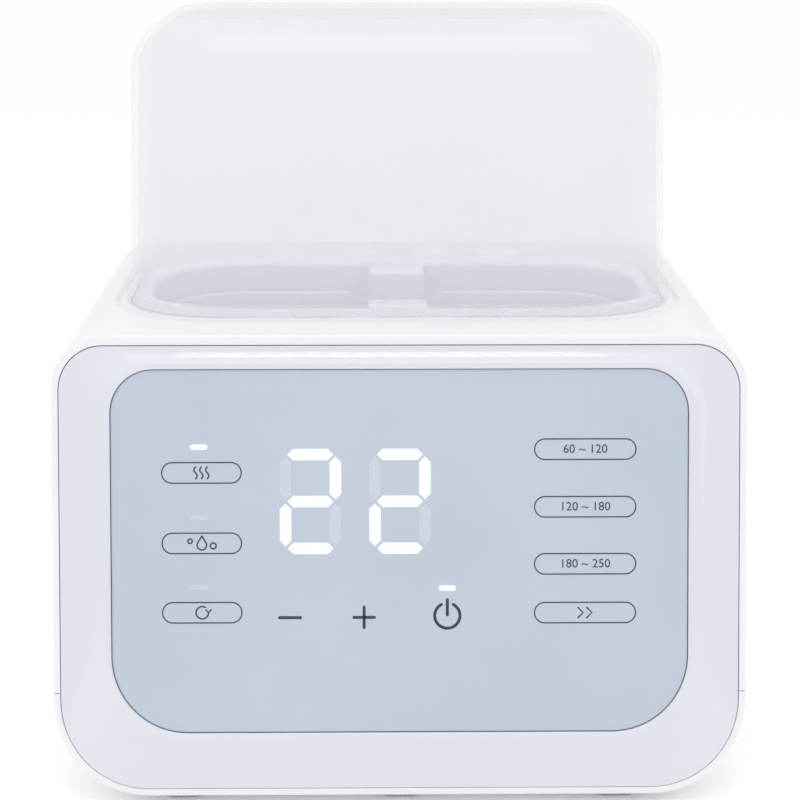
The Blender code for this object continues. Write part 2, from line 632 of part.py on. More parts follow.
# ---------------------------------------------------------------- well and heater
HOLE_LENGTH = WELL_LENGTH - 2 * (WELL_DRAFT + HEATER_INSET)
HOLE_WIDTH = WELL_WIDTH - 2 * (WELL_DRAFT + HEATER_INSET)
HOLE_CORNER = WELL_CORNER - HEATER_INSET
WELL_UNDER_Z = WELL_FLOOR_Z - WELL_WALL
SEAL_LOW = WELL_UNDER_Z - GAP - SEAL_THICK
PLATE_LOW = SEAL_LOW - GAP - PLATE_THICK
BRACKET_LOW = PLATE_LOW - GAP - BRACKET_THICK
BOSS_REACH = WELL_WIDTH / 2 - WELL_DRAFT + WELL_WALL + BOSS_OFFSET
BOSS_PLACES = [(side * (WELL_LENGTH / 2 - WELL_CORNER + BOSS_TUCK), WELL_Y + end * BOSS_REACH)
               for side in (-1, 1) for end in (-1, 1)]


def well_ring(grow, z, corner=WELL_CORNER):
    return plan_ring(WELL_LENGTH + 2 * grow, WELL_WIDTH + 2 * grow, corner + grow, z)


def hole_ring(grow, z):
    return plan_ring(HOLE_LENGTH + 2 * grow, HOLE_WIDTH + 2 * grow, HOLE_CORNER + grow, z)


def water_well():
    flange = (WELL_LENGTH + 2 * FLANGE_SIDE, WELL_WIDTH + 2 * FLANGE_END, WELL_CORNER)
    rings = [plan_ring(*flange, SEAT_Z - FLANGE_THICK), plan_ring(*flange, SEAT_Z),
             well_ring(WELL_EASE, SEAT_Z), well_ring(WELL_EASE * ARC_MIDDLE, SEAT_Z - WELL_EASE * ARC_MIDDLE),
             well_ring(0.0, SEAT_Z - WELL_EASE), well_ring(-WELL_DRAFT, WELL_FLOOR_Z + WELL_FILLET),
             well_ring(-WELL_DRAFT - WELL_FILLET * ARC_MIDDLE, WELL_FLOOR_Z + WELL_FILLET * ARC_MIDDLE),
             well_ring(-WELL_DRAFT - WELL_FILLET, WELL_FLOOR_Z),
             hole_ring(0.0, WELL_FLOOR_Z), hole_ring(0.0, WELL_UNDER_Z),
             well_ring(WELL_WALL - WELL_DRAFT - WELL_FILLET, WELL_UNDER_Z),
             well_ring(WELL_WALL - WELL_DRAFT, WELL_UNDER_Z + WELL_FILLET),
             well_ring(WELL_WALL, SEAT_Z - FLANGE_THICK)]
    well = loft("water_well", rings, WELL_GREY, closed=True)
    for index, (x, y) in enumerate(BOSS_PLACES):
        combine(well, "UNION", upright_tool("well_boss_tool_%d" % index, BOSS_RADIUS, PLATE_LOW,
                                            WELL_FLOOR_Z + BOSS_ABOVE_FLOOR, (x, y)))
    for index, (side, end) in enumerate(((-1, -1), (1, -1), (-1, 1), (1, 1))):
        hook = block("hook_tool_%d" % index, (HOOK_LENGTH, HOOK_REACH + WELL_WALL, HOOK_HEIGHT),
                     (side * HOOK_X, WELL_Y + end * (WELL_WIDTH / 2 + (WELL_WALL + HOOK_REACH) / 2),
                      SEAT_Z - LEDGE_THICK - GAP - HOOK_HEIGHT / 2), WELL_GREY)
        combine(well, "UNION", hook)
    for index, place in enumerate(BOSS_PLACES):
        combine(well, "DIFFERENCE", upright_tool("well_pilot_tool_%d" % index, SCREW_RADIUS + GAP,
                                                 PLATE_LOW - CUT_OVER, BRACKET_LOW + SCREW_LENGTH, place))


def flat_ring(name, outer, inner, low, high, mat=STEEL):
    """A ring of rectangular section that follows the heater hole; outer and inner are offsets from it."""
    return loft(name, [hole_ring(outer, low), hole_ring(outer, high), hole_ring(inner, high),
                       hole_ring(inner, low)], mat, closed=True)


def heater():
    flat_ring("heater_seal", SEAL_OVERLAP, 0.0, SEAL_LOW, SEAL_LOW + SEAL_THICK, SILICONE)
    top = PLATE_LOW + PLATE_THICK
    loft("heater_plate", [hole_ring(PLATE_OVERLAP, PLATE_LOW), hole_ring(PLATE_OVERLAP, top),
                          hole_ring(-2 * GAP, top), hole_ring(-2 * GAP, WELL_FLOOR_Z - PLATE_EASE),
                          hole_ring(-2 * GAP - PLATE_EASE, WELL_FLOOR_Z)], ALUMINIUM)
    under = PLATE_LOW - GAP
    flat_ring("heating_element", -ELEMENT_INSET, -ELEMENT_INSET - ELEMENT_THICK, under - ELEMENT_THICK, under)
    bracket = flat_ring("heater_bracket", PLATE_OVERLAP + BRACKET_RIM, PLATE_OVERLAP - BRACKET_LIP,
                        BRACKET_LOW, BRACKET_LOW + BRACKET_THICK)
    for index, (x, y) in enumerate(BOSS_PLACES):
        inward = -1 if y > WELL_Y else 1
        reach = abs(y - WELL_Y) - HOLE_WIDTH / 2 - PLATE_OVERLAP + BRACKET_LIP / 2
        lug = block("lug_tool_%d" % index, (2 * LUG_RADIUS, reach + LUG_RADIUS, BRACKET_THICK),
                    (x, y + inward * (reach - LUG_RADIUS) / 2, BRACKET_LOW + BRACKET_THICK / 2), STEEL)
        combine(bracket, "UNION", lug)
    for index, (x, y) in enumerate(BOSS_PLACES):
        combine(bracket, "DIFFERENCE", upright_tool("lug_hole_tool_%d" % index, SCREW_RADIUS + GAP,
                                                    BRACKET_LOW - CUT_OVER, BRACKET_LOW + CUT_OVER, (x, y)))
        screw("bracket_screw_%d" % (index + 1), (x, y, BRACKET_LOW - GAP))
    turned("thermostat", [(THERMOSTAT_CAP_RADIUS, under - THERMOSTAT_HEIGHT),
                          (THERMOSTAT_CAP_RADIUS, under - THERMOSTAT_HEIGHT / 2),
                          (THERMOSTAT_RADIUS, under - THERMOSTAT_HEIGHT / 2), (THERMOSTAT_RADIUS, under)],
           BLACK_PLASTIC, (0, WELL_Y, 0), steps=16)
    turned("temperature_sensor", [(SENSOR_RADIUS, under - SENSOR_HEIGHT), (SENSOR_RADIUS, under)],
           STEEL, (SENSOR_X, WELL_Y, 0), steps=10)
    turned("thermal_fuse", [(FUSE_RADIUS, -FUSE_LENGTH / 2), (FUSE_RADIUS, FUSE_LENGTH / 2)], WIRE_WHITE,
           (-SENSOR_X, WELL_Y, under - FUSE_RADIUS), Vector((1, 0, 0)), steps=10)


# ---------------------------------------------------------------- rack and lid
RACK_LOW = WELL_FLOOR_Z + GAP
RACK_TOP = SEAT_Z - RACK_DROP
POST_TOP = SEAT_Z - POST_DROP


def rack_inset(z):
    """How far the rack's outer face stands inside the well's mouth at a height."""
    return RACK_CLEARANCE + WELL_DRAFT * (SEAT_Z - z) / (SEAT_Z - WELL_FLOOR_Z)


def bottle_rack():
    chamfer = WELL_FILLET + GAP
    floor_top = RACK_LOW + RACK_FLOOR
    outside = [well_ring(-rack_inset(RACK_TOP), RACK_TOP),
               well_ring(-rack_inset(RACK_LOW + chamfer), RACK_LOW + chamfer),
               well_ring(-rack_inset(RACK_LOW) - chamfer, RACK_LOW)]
    inside = [well_ring(-rack_inset(RACK_LOW) - chamfer - RACK_WALL, floor_top),
              well_ring(-rack_inset(RACK_LOW + chamfer) - RACK_WALL, floor_top + chamfer),
              well_ring(-rack_inset(RACK_TOP) - RACK_WALL, RACK_TOP)]
    rack = loft("bottle_rack", outside + inside, RACK_WHITE, turn_at=len(outside), origin=WELL_AXIS)
    low = RACK_LOW + RACK_FLOOR / 2
    for end in (-1, 1):
        post = []
        for z in (low, POST_TOP):
            face = WELL_WIDTH / 2 - rack_inset(z) - POST_SETBACK
            post.append([Vector((u * POST_WIDTH / 2, WELL_Y + end * v, z)) for u, v in (
                (-1, face - POST_DEPTH), (1, face - POST_DEPTH), (1, face), (-1, face))])
        combine(rack, "UNION", loft("post_tool_%d" % end, post, RACK_WHITE))
        face = WELL_WIDTH / 2 - rack_inset(RACK_TOP) - POST_SETBACK
        outline = [(POST_WIDTH / 2 + GAP, POST_TOP - GAP)]
        for angle in arc_steps(WING_STEPS):
            outline.append((POST_WIDTH / 2 + POST_FLARE + POST_FILLET * (1 - math.cos(angle)),
                            RACK_TOP + POST_FILLET * (1 - math.sin(angle))))
        outline.append((POST_WIDTH / 2 + POST_FLARE + POST_FILLET, RACK_TOP - WELL_WALL))
        outline = outline + [(-x, z) for x, z in reversed(outline)]
        wing = loft("wing_tool_%d" % end, [[Vector((x, WELL_Y + end * y, z)) for x, z in outline]
                                           for y in (face - POST_DEPTH / 8, face - POST_SETBACK)], RACK_WHITE)
        combine(rack, "UNION", wing)
    divider = block("divider_tool", (RACK_WALL, WELL_WIDTH - 2 * rack_inset(low) - RACK_WALL, DIVIDER_HEIGHT),
                    (0, WELL_Y, low + DIVIDER_HEIGHT / 2), RACK_WHITE)
    combine(rack, "UNION", divider)
    for side in (-1, 1):
        profile = [(BAY_HOLE, RACK_LOW - CUT_OVER), (BAY_HOLE, floor_top + CUT_OVER)]
        bay = turned("bay_tool_%d" % side, profile, RACK_WHITE, (side * WELL_LENGTH / 4, WELL_Y, 0), steps=20)
        combine(rack, "DIFFERENCE", bay)
    mount_on_axis(rack, "rack_slide_axis")


def steam_lid():
    low = SEAT_Z + GAP
    high = low + LID_HEIGHT
    outside = [lid_ring(0.0, low), lid_ring(0.0, low + LID_RIM_HEIGHT)]
    inside = [lid_ring(LID_RIM_PROUD + LID_WALL, low)]
    for angle in arc_steps(LID_STEPS):
        z = high - LID_ROUND * (1 - math.sin(angle))
        outside.append(lid_ring(lid_inset(z) + LID_ROUND * (1 - math.cos(angle)), z))
        radius = LID_ROUND - LID_WALL
        z = high - LID_WALL - radius * (1 - math.sin(angle))
        inside.append(lid_ring(lid_inset(z) + LID_WALL + radius * (1 - math.cos(angle)), z))
    outside.insert(2, lid_ring(lid_inset(low + LID_RIM_HEIGHT + GAP), low + LID_RIM_HEIGHT + GAP))
    lid = loft("steam_lid", outside + inside[::-1], MILKY_LID, turn_at=len(outside), origin=WELL_AXIS)
    for index in range(LID_VENTS):
        x = (index - (LID_VENTS - 1) / 2) * VENT_PITCH
        vent = block("lid_vent_tool_%d" % index, (VENT_LENGTH, 2 * LID_WIDTH, 2 * VENT_HEIGHT),
                     (x, WELL_Y, low), MILKY_LID)
        combine(lid, "DIFFERENCE", vent)
    mount_on_axis(lid, "lid_slide_axis")


def lid_inset(z):
    """How far the lid's wall stands inside its rim at a height."""
    return LID_RIM_PROUD + (z - SEAT_Z - GAP) * math.tan(LID_DRAFT)


def lid_ring(inset, z):
    return plan_ring(LID_LENGTH - 2 * inset, LID_WIDTH - 2 * inset, LID_CORNER - inset, z)


def mount_on_axis(piece, name):
    """Parent a lift-out piece to an empty on its upright slide axis."""
    axis = bpy.data.objects.new(name, None)
    axis.location = WELL_AXIS
    bpy.context.scene.collection.objects.link(axis)
    piece.parent = axis
    piece.matrix_parent_inverse = Matrix.Translation(-Vector(WELL_AXIS))


# ---------------------------------------------------------------- power and wiring
def power_electronics():
    board_mid = POWER_BOARD_Z + BOARD_THICK / 2
    block("power_board", (*POWER_BOARD_SIZE, BOARD_THICK), (0, POWER_BOARD_Y, board_mid), BOARD_GREEN)
    top = POWER_BOARD_Z + BOARD_THICK + GAP
    for name, size, x in (("transformer", TRANSFORMER_SIZE, TRANSFORMER_X), ("relay", RELAY_SIZE, RELAY_X)):
        block(name, size, (x, POWER_BOARD_Y, top + size[2] / 2), BLACK_PLASTIC, radius=CASE_ROUND)
    x, z = INLET_PLACE
    back = REAR_Y - INLET_LENGTH
    outline = (INLET_WIDTH / 2, INLET_HEIGHT / 2)
    front = REAR_Y + GAP

    def frame(half_width, half_height, y):
        return [Vector((x + u * half_width, y, z + v * half_height))
                for u, v in ((-1, -1), (1, -1), (1, 1), (-1, 1))]

    wide = (outline[0] + INLET_FLANGE, outline[1] + INLET_FLANGE)
    mouth = (outline[0] - INLET_WALL, outline[1] - INLET_WALL)
    loft("power_inlet", [frame(*mouth, front + INLET_PROUD), frame(*wide, front + INLET_PROUD),
                         frame(*wide, front), frame(*outline, front), frame(*outline, back),
                         frame(*mouth, back + INLET_WALL)], BLACK_PLASTIC, turn_at=5)
    board_rear = POWER_BOARD_Y + POWER_BOARD_SIZE[1] / 2 - LEAD_INSET
    landing = top + WIRE_RADIUS
    for name, mat, side in (("mains_lead_live", WIRE_RED, 1), ("mains_lead_neutral", WIRE_BLUE, -1)):
        lead_x = x + side * LEAD_SPACING / 2
        wire(name, [(lead_x, back - GAP, z), (lead_x, back - LEAD_OUT, z - LEAD_INSET),
                    (lead_x, board_rear + LEAD_SPREAD, landing + LEAD_RISE),
                    (lead_x, board_rear, landing)], mat)
    under = PLATE_LOW - 2 * GAP - ELEMENT_THICK
    reach = HOLE_LENGTH / 2 - ELEMENT_INSET - ELEMENT_THICK / 2
    for name, side in (("heater_lead_left", -1), ("heater_lead_right", 1)):
        end_x = side * (POWER_BOARD_SIZE[0] / 2 - LEAD_INSET)
        lead_y = WELL_Y - HEATER_LEAD_Y
        wire(name, [(side * reach, WELL_Y, under), (side * reach, WELL_Y, under - LEAD_OUT),
                    (end_x, lead_y + WIRE_RADIUS, (under + top) / 2),
                    (end_x, lead_y, top + LEAD_OUT), (end_x, lead_y, top)], WIRE_WHITE)
    foot = face_point(0, PANEL_LOW + HARNESS_ABOVE_LOW, BOARD_OUT - BOARD_THICK - GAP)
    board_front = POWER_BOARD_Y - POWER_BOARD_SIZE[1] / 2
    wire("control_harness", [tuple(foot), tuple(foot - OUTWARD * HARNESS_OUT),
                             (0, foot.y + HARNESS_RUN, foot.z - HARNESS_FALL),
                             (0, board_front + WIRE_RADIUS, top + LEAD_RISE),
                             (0, board_front + LEAD_OUT, landing)], WIRE_WHITE)


def feet_and_fixings():
    for index, (x, y) in enumerate(FOOT_PLACES):
        high = SHELL_LOW + FOOT_POCKET
        block("foot_%d" % (index + 1), (FOOT_WIDTH, FOOT_DEPTH, high), (x, y, high / 2), RUBBER, FOOT_ROUND)
    for index, (x, y) in enumerate(COLUMN_PLACES):
        screw("base_screw_%d" % (index + 1), (x, y, SHELL_LOW + SCREW_SINK + SCREW_HEAD_HEIGHT))
    block("rating_label", (*LABEL_SIZE, LABEL_THICK), (0, LABEL_Y, SHELL_LOW + LABEL_POCKET - GAP
                                                      - LABEL_THICK / 2), LABEL_SILVER, radius=LABEL_ROUND)


upper_housing()
bottom_base()
front_bezel()
touch_panel()
control_electronics()
water_well()
heater()
bottle_rack()
steam_lid()
power_electronics()
feet_and_fixings()
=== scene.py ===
# %% [markdown]
# # A steam warmer for two feeding bottles
#
# The real object is a white plastic countertop box.  Its touch front leans
# back, two bottles stand in a rack inside a deep water well, and a milky lid
# traps the steam above them.  The engineering model comes in as a fixed frame
# that says where every piece is and how it moves.  This script gives those
# pieces the surfaces that an eye would meet.

# %% Load the fixed frame
import math

import bmesh
import bpy
from mathutils import Euler, Matrix, Vector


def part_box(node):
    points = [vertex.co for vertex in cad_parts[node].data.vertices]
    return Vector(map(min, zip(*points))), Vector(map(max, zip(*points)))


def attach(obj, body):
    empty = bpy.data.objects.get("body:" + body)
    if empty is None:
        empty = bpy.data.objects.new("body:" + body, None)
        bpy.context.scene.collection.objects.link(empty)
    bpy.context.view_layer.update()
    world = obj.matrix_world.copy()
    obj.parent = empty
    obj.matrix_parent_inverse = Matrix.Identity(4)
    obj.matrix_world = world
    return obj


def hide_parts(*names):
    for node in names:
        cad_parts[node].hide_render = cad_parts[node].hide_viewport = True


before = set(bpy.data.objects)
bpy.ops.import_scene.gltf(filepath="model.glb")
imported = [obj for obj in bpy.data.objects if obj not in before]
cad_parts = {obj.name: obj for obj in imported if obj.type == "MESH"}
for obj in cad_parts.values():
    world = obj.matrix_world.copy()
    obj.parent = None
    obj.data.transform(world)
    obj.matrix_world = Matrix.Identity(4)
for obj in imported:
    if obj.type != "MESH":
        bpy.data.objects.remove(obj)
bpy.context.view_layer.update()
MM = 0.001

# %% [markdown]
# ## Sizes
#
# Overall sizes are measured on the frame, so the surfaces land exactly on the
# solids that they stand for.  Only what a box can't tell, such as a wall or a
# corner radius, is given here, in millimetres.

# %% Measure the frame
base_low, base_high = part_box("bottom_base")
shell_low_corner, shell_high_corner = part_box("upper_housing")
WIDTH = base_high.x - base_low.x
FRONT_Y = base_low.y
REAR_Y = base_high.y
SHELL_LOW = base_low.z
SHELL_TOP = shell_high_corner.z
BODY_HEIGHT = SHELL_TOP - SHELL_LOW
BASE_TOP = base_high.z
COLUMN_FOOT = shell_low_corner.z

LEAN = math.radians(11.5)
WALL = 1.9 * MM
TOP_WALL = 2.65 * MM
TOP_CORNER = 14 * MM
LOW_CORNER = 26 * MM
REAR_ROUND = 12 * MM
RIM_ROUND = 0.7 * MM
INNER_ROUND = 0.3 * MM
GAP = 0.3 * MM
HOUSING_LOW = BASE_TOP + GAP
CORNER_STEPS = 18
ROUND_STEPS = 8
SMALL_STEPS = 4

UP_SLOPE = Vector((0, math.sin(LEAN), math.cos(LEAN)))
OUTWARD = Vector((0, -math.cos(LEAN), math.sin(LEAN)))
FACE_TURN = Matrix((Vector((1, 0, 0)), UP_SLOPE, OUTWARD)).transposed()
print("body %.1f x %.1f x %.1f mm, leaning %.1f degrees" % (
    WIDTH / MM, (REAR_Y - FRONT_Y) / MM, BODY_HEIGHT / MM, math.degrees(LEAN)))

# %% [markdown]
# ## Shapes from rings
#
# Moulded plastic is mostly rounded rectangles that change size as they rise.
# Each shell is therefore a stack of such rings, skinned into one closed
# surface.  It could also be a subdivided box, but rings keep every radius at
# its true size.

# %% Rings and skins
def quarter(steps):
    """Angles of a quarter turn, ends included."""
    return [math.pi / 2 * step / steps for step in range(steps + 1)]


def eased(radius, steps=SMALL_STEPS):
    """Pairs of distances round a quarter circle: the first grows from 0 as the second falls to 0."""
    return [(radius * (1 - math.cos(angle)), radius * (1 - math.sin(angle))) for angle in quarter(steps)]


def rounded_rect(width, height, low_radius, high_radius=None, steps=CORNER_STEPS):
    """Points (u, v) of a rounded rectangle about (0, 0), anticlockwise."""
    high_radius = low_radius if high_radius is None else high_radius
    limit = min(width, height) / 2 - 0.1 * MM
    points = []
    for side_u, side_v, start in ((1, -1, -90), (1, 1, 0), (-1, 1, 90), (-1, -1, 180)):
        radius = max(min(high_radius if side_v > 0 else low_radius, limit), 0.1 * MM)
        for step in range(steps + 1):
            angle = math.radians(start + 90 * step / steps)
            points.append((side_u * (width / 2 - radius) + radius * math.cos(angle),
                           side_v * (height / 2 - radius) + radius * math.sin(angle)))
    return points


def skin(rings, closed=False, turn_at=None):
    """Faces over rings of equal point count, pointing outwards.

    closed joins the last ring to the first.  turn_at makes a cup: the rings before
    it are its outside, from the mouth to the end, and the rest its inside, back again.
    """
    count = len(rings[0])
    points = [point for ring in rings for point in ring]
    joins = [(i, i + 1) for i in range(len(rings) - 1) if i + 1 != turn_at]
    if closed or turn_at:
        joins.append((len(rings) - 1, 0))
    faces = []
    for near, far in joins:
        for k in range(count):
            after = (k + 1) % count
            faces.append((near * count + k, near * count + after, far * count + after, far * count + k))
    if not closed:
        first = turn_at or 0
        last = (turn_at or len(rings)) - 1
        faces.append(tuple(first * count + k for k in reversed(range(count))))
        faces.append(tuple(last * count + k for k in range(count)))
    volume = sum(points[f[0]].dot(points[f[k]].cross(points[f[k + 1]]))
                 for f in faces for k in range(1, len(f) - 1))
    return points, [tuple(reversed(f)) for f in faces] if volume < 0 else faces


def solid(name, *skins):
    """One object from one or more closed skins."""
    points, faces = [], []
    for more_points, more_faces in skins:
        faces += [tuple(len(points) + k for k in face) for face in more_faces]
        points += more_points
    mesh = bpy.data.meshes.new(name)
    mesh.from_pydata(points, [], faces)
    mesh.shade_smooth()
    obj = bpy.data.objects.new(name, mesh)
    bpy.context.scene.collection.objects.link(obj)
    return obj


def prism(outline, low, high, place=None):
    """A skin over a flat outline (u, v) raised from low to high, put in place by a function."""
    place = place or (lambda u, v, w: Vector((u, v, w)))
    return skin([[place(u, v, w) for u, v in outline] for w in (low, high)])


def turned(profile, at, axis=(0, 0, 1), steps=24):
    """A skin turned about an axis; the profile is (radius, height) from end to end."""
    turn = Vector((0, 0, 1)).rotation_difference(Vector(axis)).to_matrix()
    angles = [2 * math.pi * k / steps for k in range(steps)]
    return skin([[Vector(at) + turn @ Vector((r * math.cos(a), r * math.sin(a), h)) for a in angles]
                 for r, h in profile])


# %% [markdown]
# ## Cutting, joining and settling
#
# Holes and ribs are cut and joined with Booleans, as a toolmaker adds cores
# and inserts to a mould.  The result is then written down as a plain mesh.
# Normals are weighted by face area, so the flats stay flat next to their
# small radii.

# %% Booleans and settled meshes
SHARP = math.radians(34)


def change(piece, operation, tool):
    """Cut a tool away from a piece, or join it on."""
    modifier = piece.modifiers.new(operation.lower(), "BOOLEAN")
    modifier.operation = operation
    modifier.object = tool
    tool.hide_render = True
    return piece


def settle(piece):
    """Turn a piece with live modifiers into a plain mesh, and drop its tools."""
    tools = [m.object for m in piece.modifiers if m.type == "BOOLEAN"]
    mesh = bpy.data.meshes.new_from_object(piece.evaluated_get(bpy.context.evaluated_depsgraph_get()))
    piece.modifiers.clear()
    piece.data = mesh
    mesh.shade_smooth()
    mesh.set_sharp_from_angle(angle=SHARP)
    for tool in tools:
        bpy.data.objects.remove(tool)
    weighted = piece.modifiers.new("flat_flats", "WEIGHTED_NORMAL")
    weighted.keep_sharp = True
    mesh = bpy.data.meshes.new_from_object(piece.evaluated_get(bpy.context.evaluated_depsgraph_get()))
    piece.modifiers.clear()
    piece.data = mesh
    return piece


def show(piece, material, body="housing", stands_for=()):
    """Give a finished piece its material and its body, and hide the nodes that it stands for."""
    piece.data.materials.clear()
    piece.data.materials.append(material)
    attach(piece, body)
    if stands_for:
        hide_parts(*stands_for)
    print("%s: %d faces" % (piece.name, len(piece.data.polygons)))
    return piece


# %% [markdown]
# ## A short way to write node trees
#
# Every material and every Geometry Nodes tree below is made with one helper.
# It adds a node, sets its options, and fills its inputs with values or with
# links from other nodes.

# %% One helper for nodes, one for colours
def add(tree, kind, inputs=None, **options):
    """Add a node; inputs maps a socket's name or number to a value or to another node's output."""
    node = tree.nodes.new(kind)
    for name, value in options.items():
        setattr(node, name, value)
    for key, value in (inputs or {}).items():
        if isinstance(value, bpy.types.NodeSocket):
            tree.links.new(value, node.inputs[key])
        else:
            node.inputs[key].default_value = value
    return node


def colour(code):
    """A hex sRGB colour as the linear RGBA that shaders work in."""
    parts = [int(code[i:i + 2], 16) / 255 for i in (1, 3, 5)]
    return (*(c / 12.92 if c <= 0.04045 else ((c + 0.055) / 1.055) ** 2.4 for c in parts), 1.0)


# %% [markdown]
# ## Moulded and other plain finishes
#
# Most pieces are injection moulded.  Three things separate moulded plastic
# from a flat colour: the steel mould's faint texture, a slow drift in gloss
# over large faces, and a slight change of tint where the wall cools unevenly.
# One function lays these three down; each finish then says what it really is.

# %% The base finish
CLOUD_SIZE = 45 * MM


def finish(name, code, roughness, grain=0.8, depth=0.01, drift=0.05, other=None, **sockets):
    """A plastic, rubber or metal; code and other are its tints, grain and depth are in millimetres."""
    material = bpy.data.materials.new(name)
    material.use_nodes = True
    tree = material.node_tree
    shader = tree.nodes["Principled BSDF"]
    place = add(tree, "ShaderNodeTexCoord").outputs["Object"]
    cloud = add(tree, "ShaderNodeTexNoise", {"Vector": place, "Scale": 1 / CLOUD_SIZE, "Detail": 2.0})
    texture = add(tree, "ShaderNodeTexNoise", {"Vector": place, "Scale": 1 / (grain * MM), "Detail": 3.0})
    tint = add(tree, "ShaderNodeMix", {0: cloud.outputs["Fac"], 6: colour(code), 7: colour(other or code)},
               data_type="RGBA")
    gloss = add(tree, "ShaderNodeMapRange", {0: texture.outputs["Fac"], 3: max(roughness - drift, 0.02),
                                             4: roughness + drift})
    relief = add(tree, "ShaderNodeBump", {"Strength": 0.5, "Distance": depth * MM,
                                          "Height": texture.outputs["Fac"]})
    tree.links.new(tint.outputs[2], shader.inputs["Base Color"])
    tree.links.new(gloss.outputs[0], shader.inputs["Roughness"])
    tree.links.new(relief.outputs["Normal"], shader.inputs["Normal"])
    for socket, value in sockets.items():
        shader.inputs[socket.replace("_", " ")].default_value = value
    return material


# Glossy ABS from a polished mould: white with a trace of blue, a soft wide sheen and slow faint ripples.
abs_white = finish("moulded_abs", "#F8F8FA", 0.28, 30.0, 0.001, 0.01, "#F6F7F9", IOR=1.54)
# The front frame is moulded cooler and glossier, so its cove shows a long clean gradient.
abs_pearl = finish("polished_cool_abs", "#E9EAF2", 0.16, 6.0, 0.002, 0.03, "#E4E6EF", IOR=1.54,
                   Coat_Weight=0.6, Coat_Roughness=0.03)
# Acrylic sheet printed on its back: the tint sits under a clear glossy face, which the coat stands for.
acrylic = finish("back_printed_acrylic", "#CBD5E2", 0.30, 5.0, 0.003, 0.03, "#C3CEDC", IOR=1.49,
                 Coat_Weight=0.6, Coat_Roughness=0.05)
# Natural polypropylene goes milky in a thin wall: light passes, and outlines stay readable behind it.
milky = finish("natural_polypropylene", "#F8F9FD", 0.10, 30.0, 0.001, 0.005, "#F6F7FC", IOR=1.45, Alpha=0.30)
# The well and rack are satin polypropylene, a little waxy, so edges stay soft.
satin_well = finish("satin_polypropylene", "#F8F9FF", 0.34, 2.5, 0.006, 0.05, "#F4F6FE", IOR=1.49)
satin_rack = finish("pale_polypropylene", "#FAFAFF", 0.32, 2.5, 0.006, 0.05, "#F7F7FE", IOR=1.49)
# Silicone and rubber scatter light off a fine matte grain.
silicone = finish("moulded_silicone", "#DADBDE", 0.55, 0.35, 0.02, 0.08, "#CDCFD3", IOR=1.41)
rubber = finish("moulded_rubber", "#BFC1C6", 0.72, 0.5, 0.03, 0.08, "#B2B4BA", IOR=1.52)
# Glass-filled nylon: black, with the short fibres just showing as a mottle.
nylon = finish("filled_nylon", "#1C1C1F", 0.45, 0.6, 0.02, 0.10, "#26262A", IOR=1.53)
# Die-cast aluminium, machined on top; zinc-plated steel with its bluish passivation.
aluminium = finish("cast_aluminium", "#D6D8DA", 0.38, 0.5, 0.03, 0.10, "#C6C9CC", Metallic=1.0)
zinc = finish("zinc_plated_steel", "#C9CCD0", 0.30, 0.7, 0.02, 0.12, "#BFC4CC", Metallic=1.0)
# Lead insulation: silicone rubber over copper, and a glass-fibre sleeve that is whiter and drier.
red_silicone = finish("red_silicone_lead", "#B3261E", 0.42, 0.6, 0.01, 0.06, "#A5201A", IOR=1.41)
blue_silicone = finish("blue_silicone_lead", "#23469E", 0.42, 0.6, 0.01, 0.06, "#1E3E90", IOR=1.41)
glass_sleeve = finish("glass_fibre_sleeve", "#EDEBE2", 0.62, 0.4, 0.04, 0.08, "#E0DED3", IOR=1.50)
# Satin polyester film, left unprinted.
film = finish("satin_film", "#D4D6DA", 0.35, 0.8, 0.004, 0.05, "#CBCED3", IOR=1.57, Metallic=0.4)
# Screen-printed ink, a thin dry coat that hardly shines.
ink = finish("screen_ink", "#41464F", 0.55, 0.4, 0.004, 0.08, "#3B404A", IOR=1.50)
faint_ink = finish("unlit_window", "#D3DCE8", 0.28, 0.8, 0.002, 0.04, "#CDD7E4", IOR=1.49)
glow = finish("lit_window", "#F6F8FB", 0.40, 0.8, 0.002, 0.05, "#F2F5FA",
              Emission_Color=(0.92, 0.95, 1.0, 1.0), Emission_Strength=0.12)
print("plain finishes:", len(bpy.data.materials))

# %% [markdown]
# ## The circuit boards
#
# A board is glass-epoxy under a green mask.  Copper tracks show through it as
# paler straight lines, which a brick pattern gives at a track's real spacing.

# %% Green board with tracks
TRACK_WIDTH = 0.25 * MM
TRACK_LENGTH = 14 * MM
TRACK_PITCH = 2.54 * MM


def board_finish(name, tilt):
    """A circuit board whose plane is tilted from level."""
    material = finish(name, "#1E5B34", 0.38, 0.6, 0.01, 0.05, "#1A5230", IOR=1.52)
    tree = material.node_tree
    shader = tree.nodes["Principled BSDF"]
    base = shader.inputs["Base Color"].links[0].from_socket
    place = add(tree, "ShaderNodeTexCoord").outputs["Object"]
    level = add(tree, "ShaderNodeMapping", {"Vector": place, "Rotation": (-tilt, 0, 0)})
    black, white = (0, 0, 0, 1), (1, 1, 1, 1)
    tracks = add(tree, "ShaderNodeTexBrick", {
        "Vector": level.outputs[0], "Color1": black, "Color2": black, "Mortar": white, "Scale": 1.0,
        "Mortar Size": TRACK_WIDTH, "Brick Width": TRACK_LENGTH, "Row Height": TRACK_PITCH})
    mixed = add(tree, "ShaderNodeMix", {0: tracks.outputs["Color"], 6: base, 7: colour("#3E8A4E")},
                data_type="RGBA")
    tree.links.new(mixed.outputs[2], shader.inputs["Base Color"])
    return material


board_green = board_finish("masked_power_board", 0.0)
leaning_green = board_finish("masked_control_board", math.pi / 2 - LEAN)

# %% [markdown]
# ## Carried-over pieces
#
# The pieces sealed inside keep their engineering solids, whose shapes are
# already right.  They only need the finish of what they are.

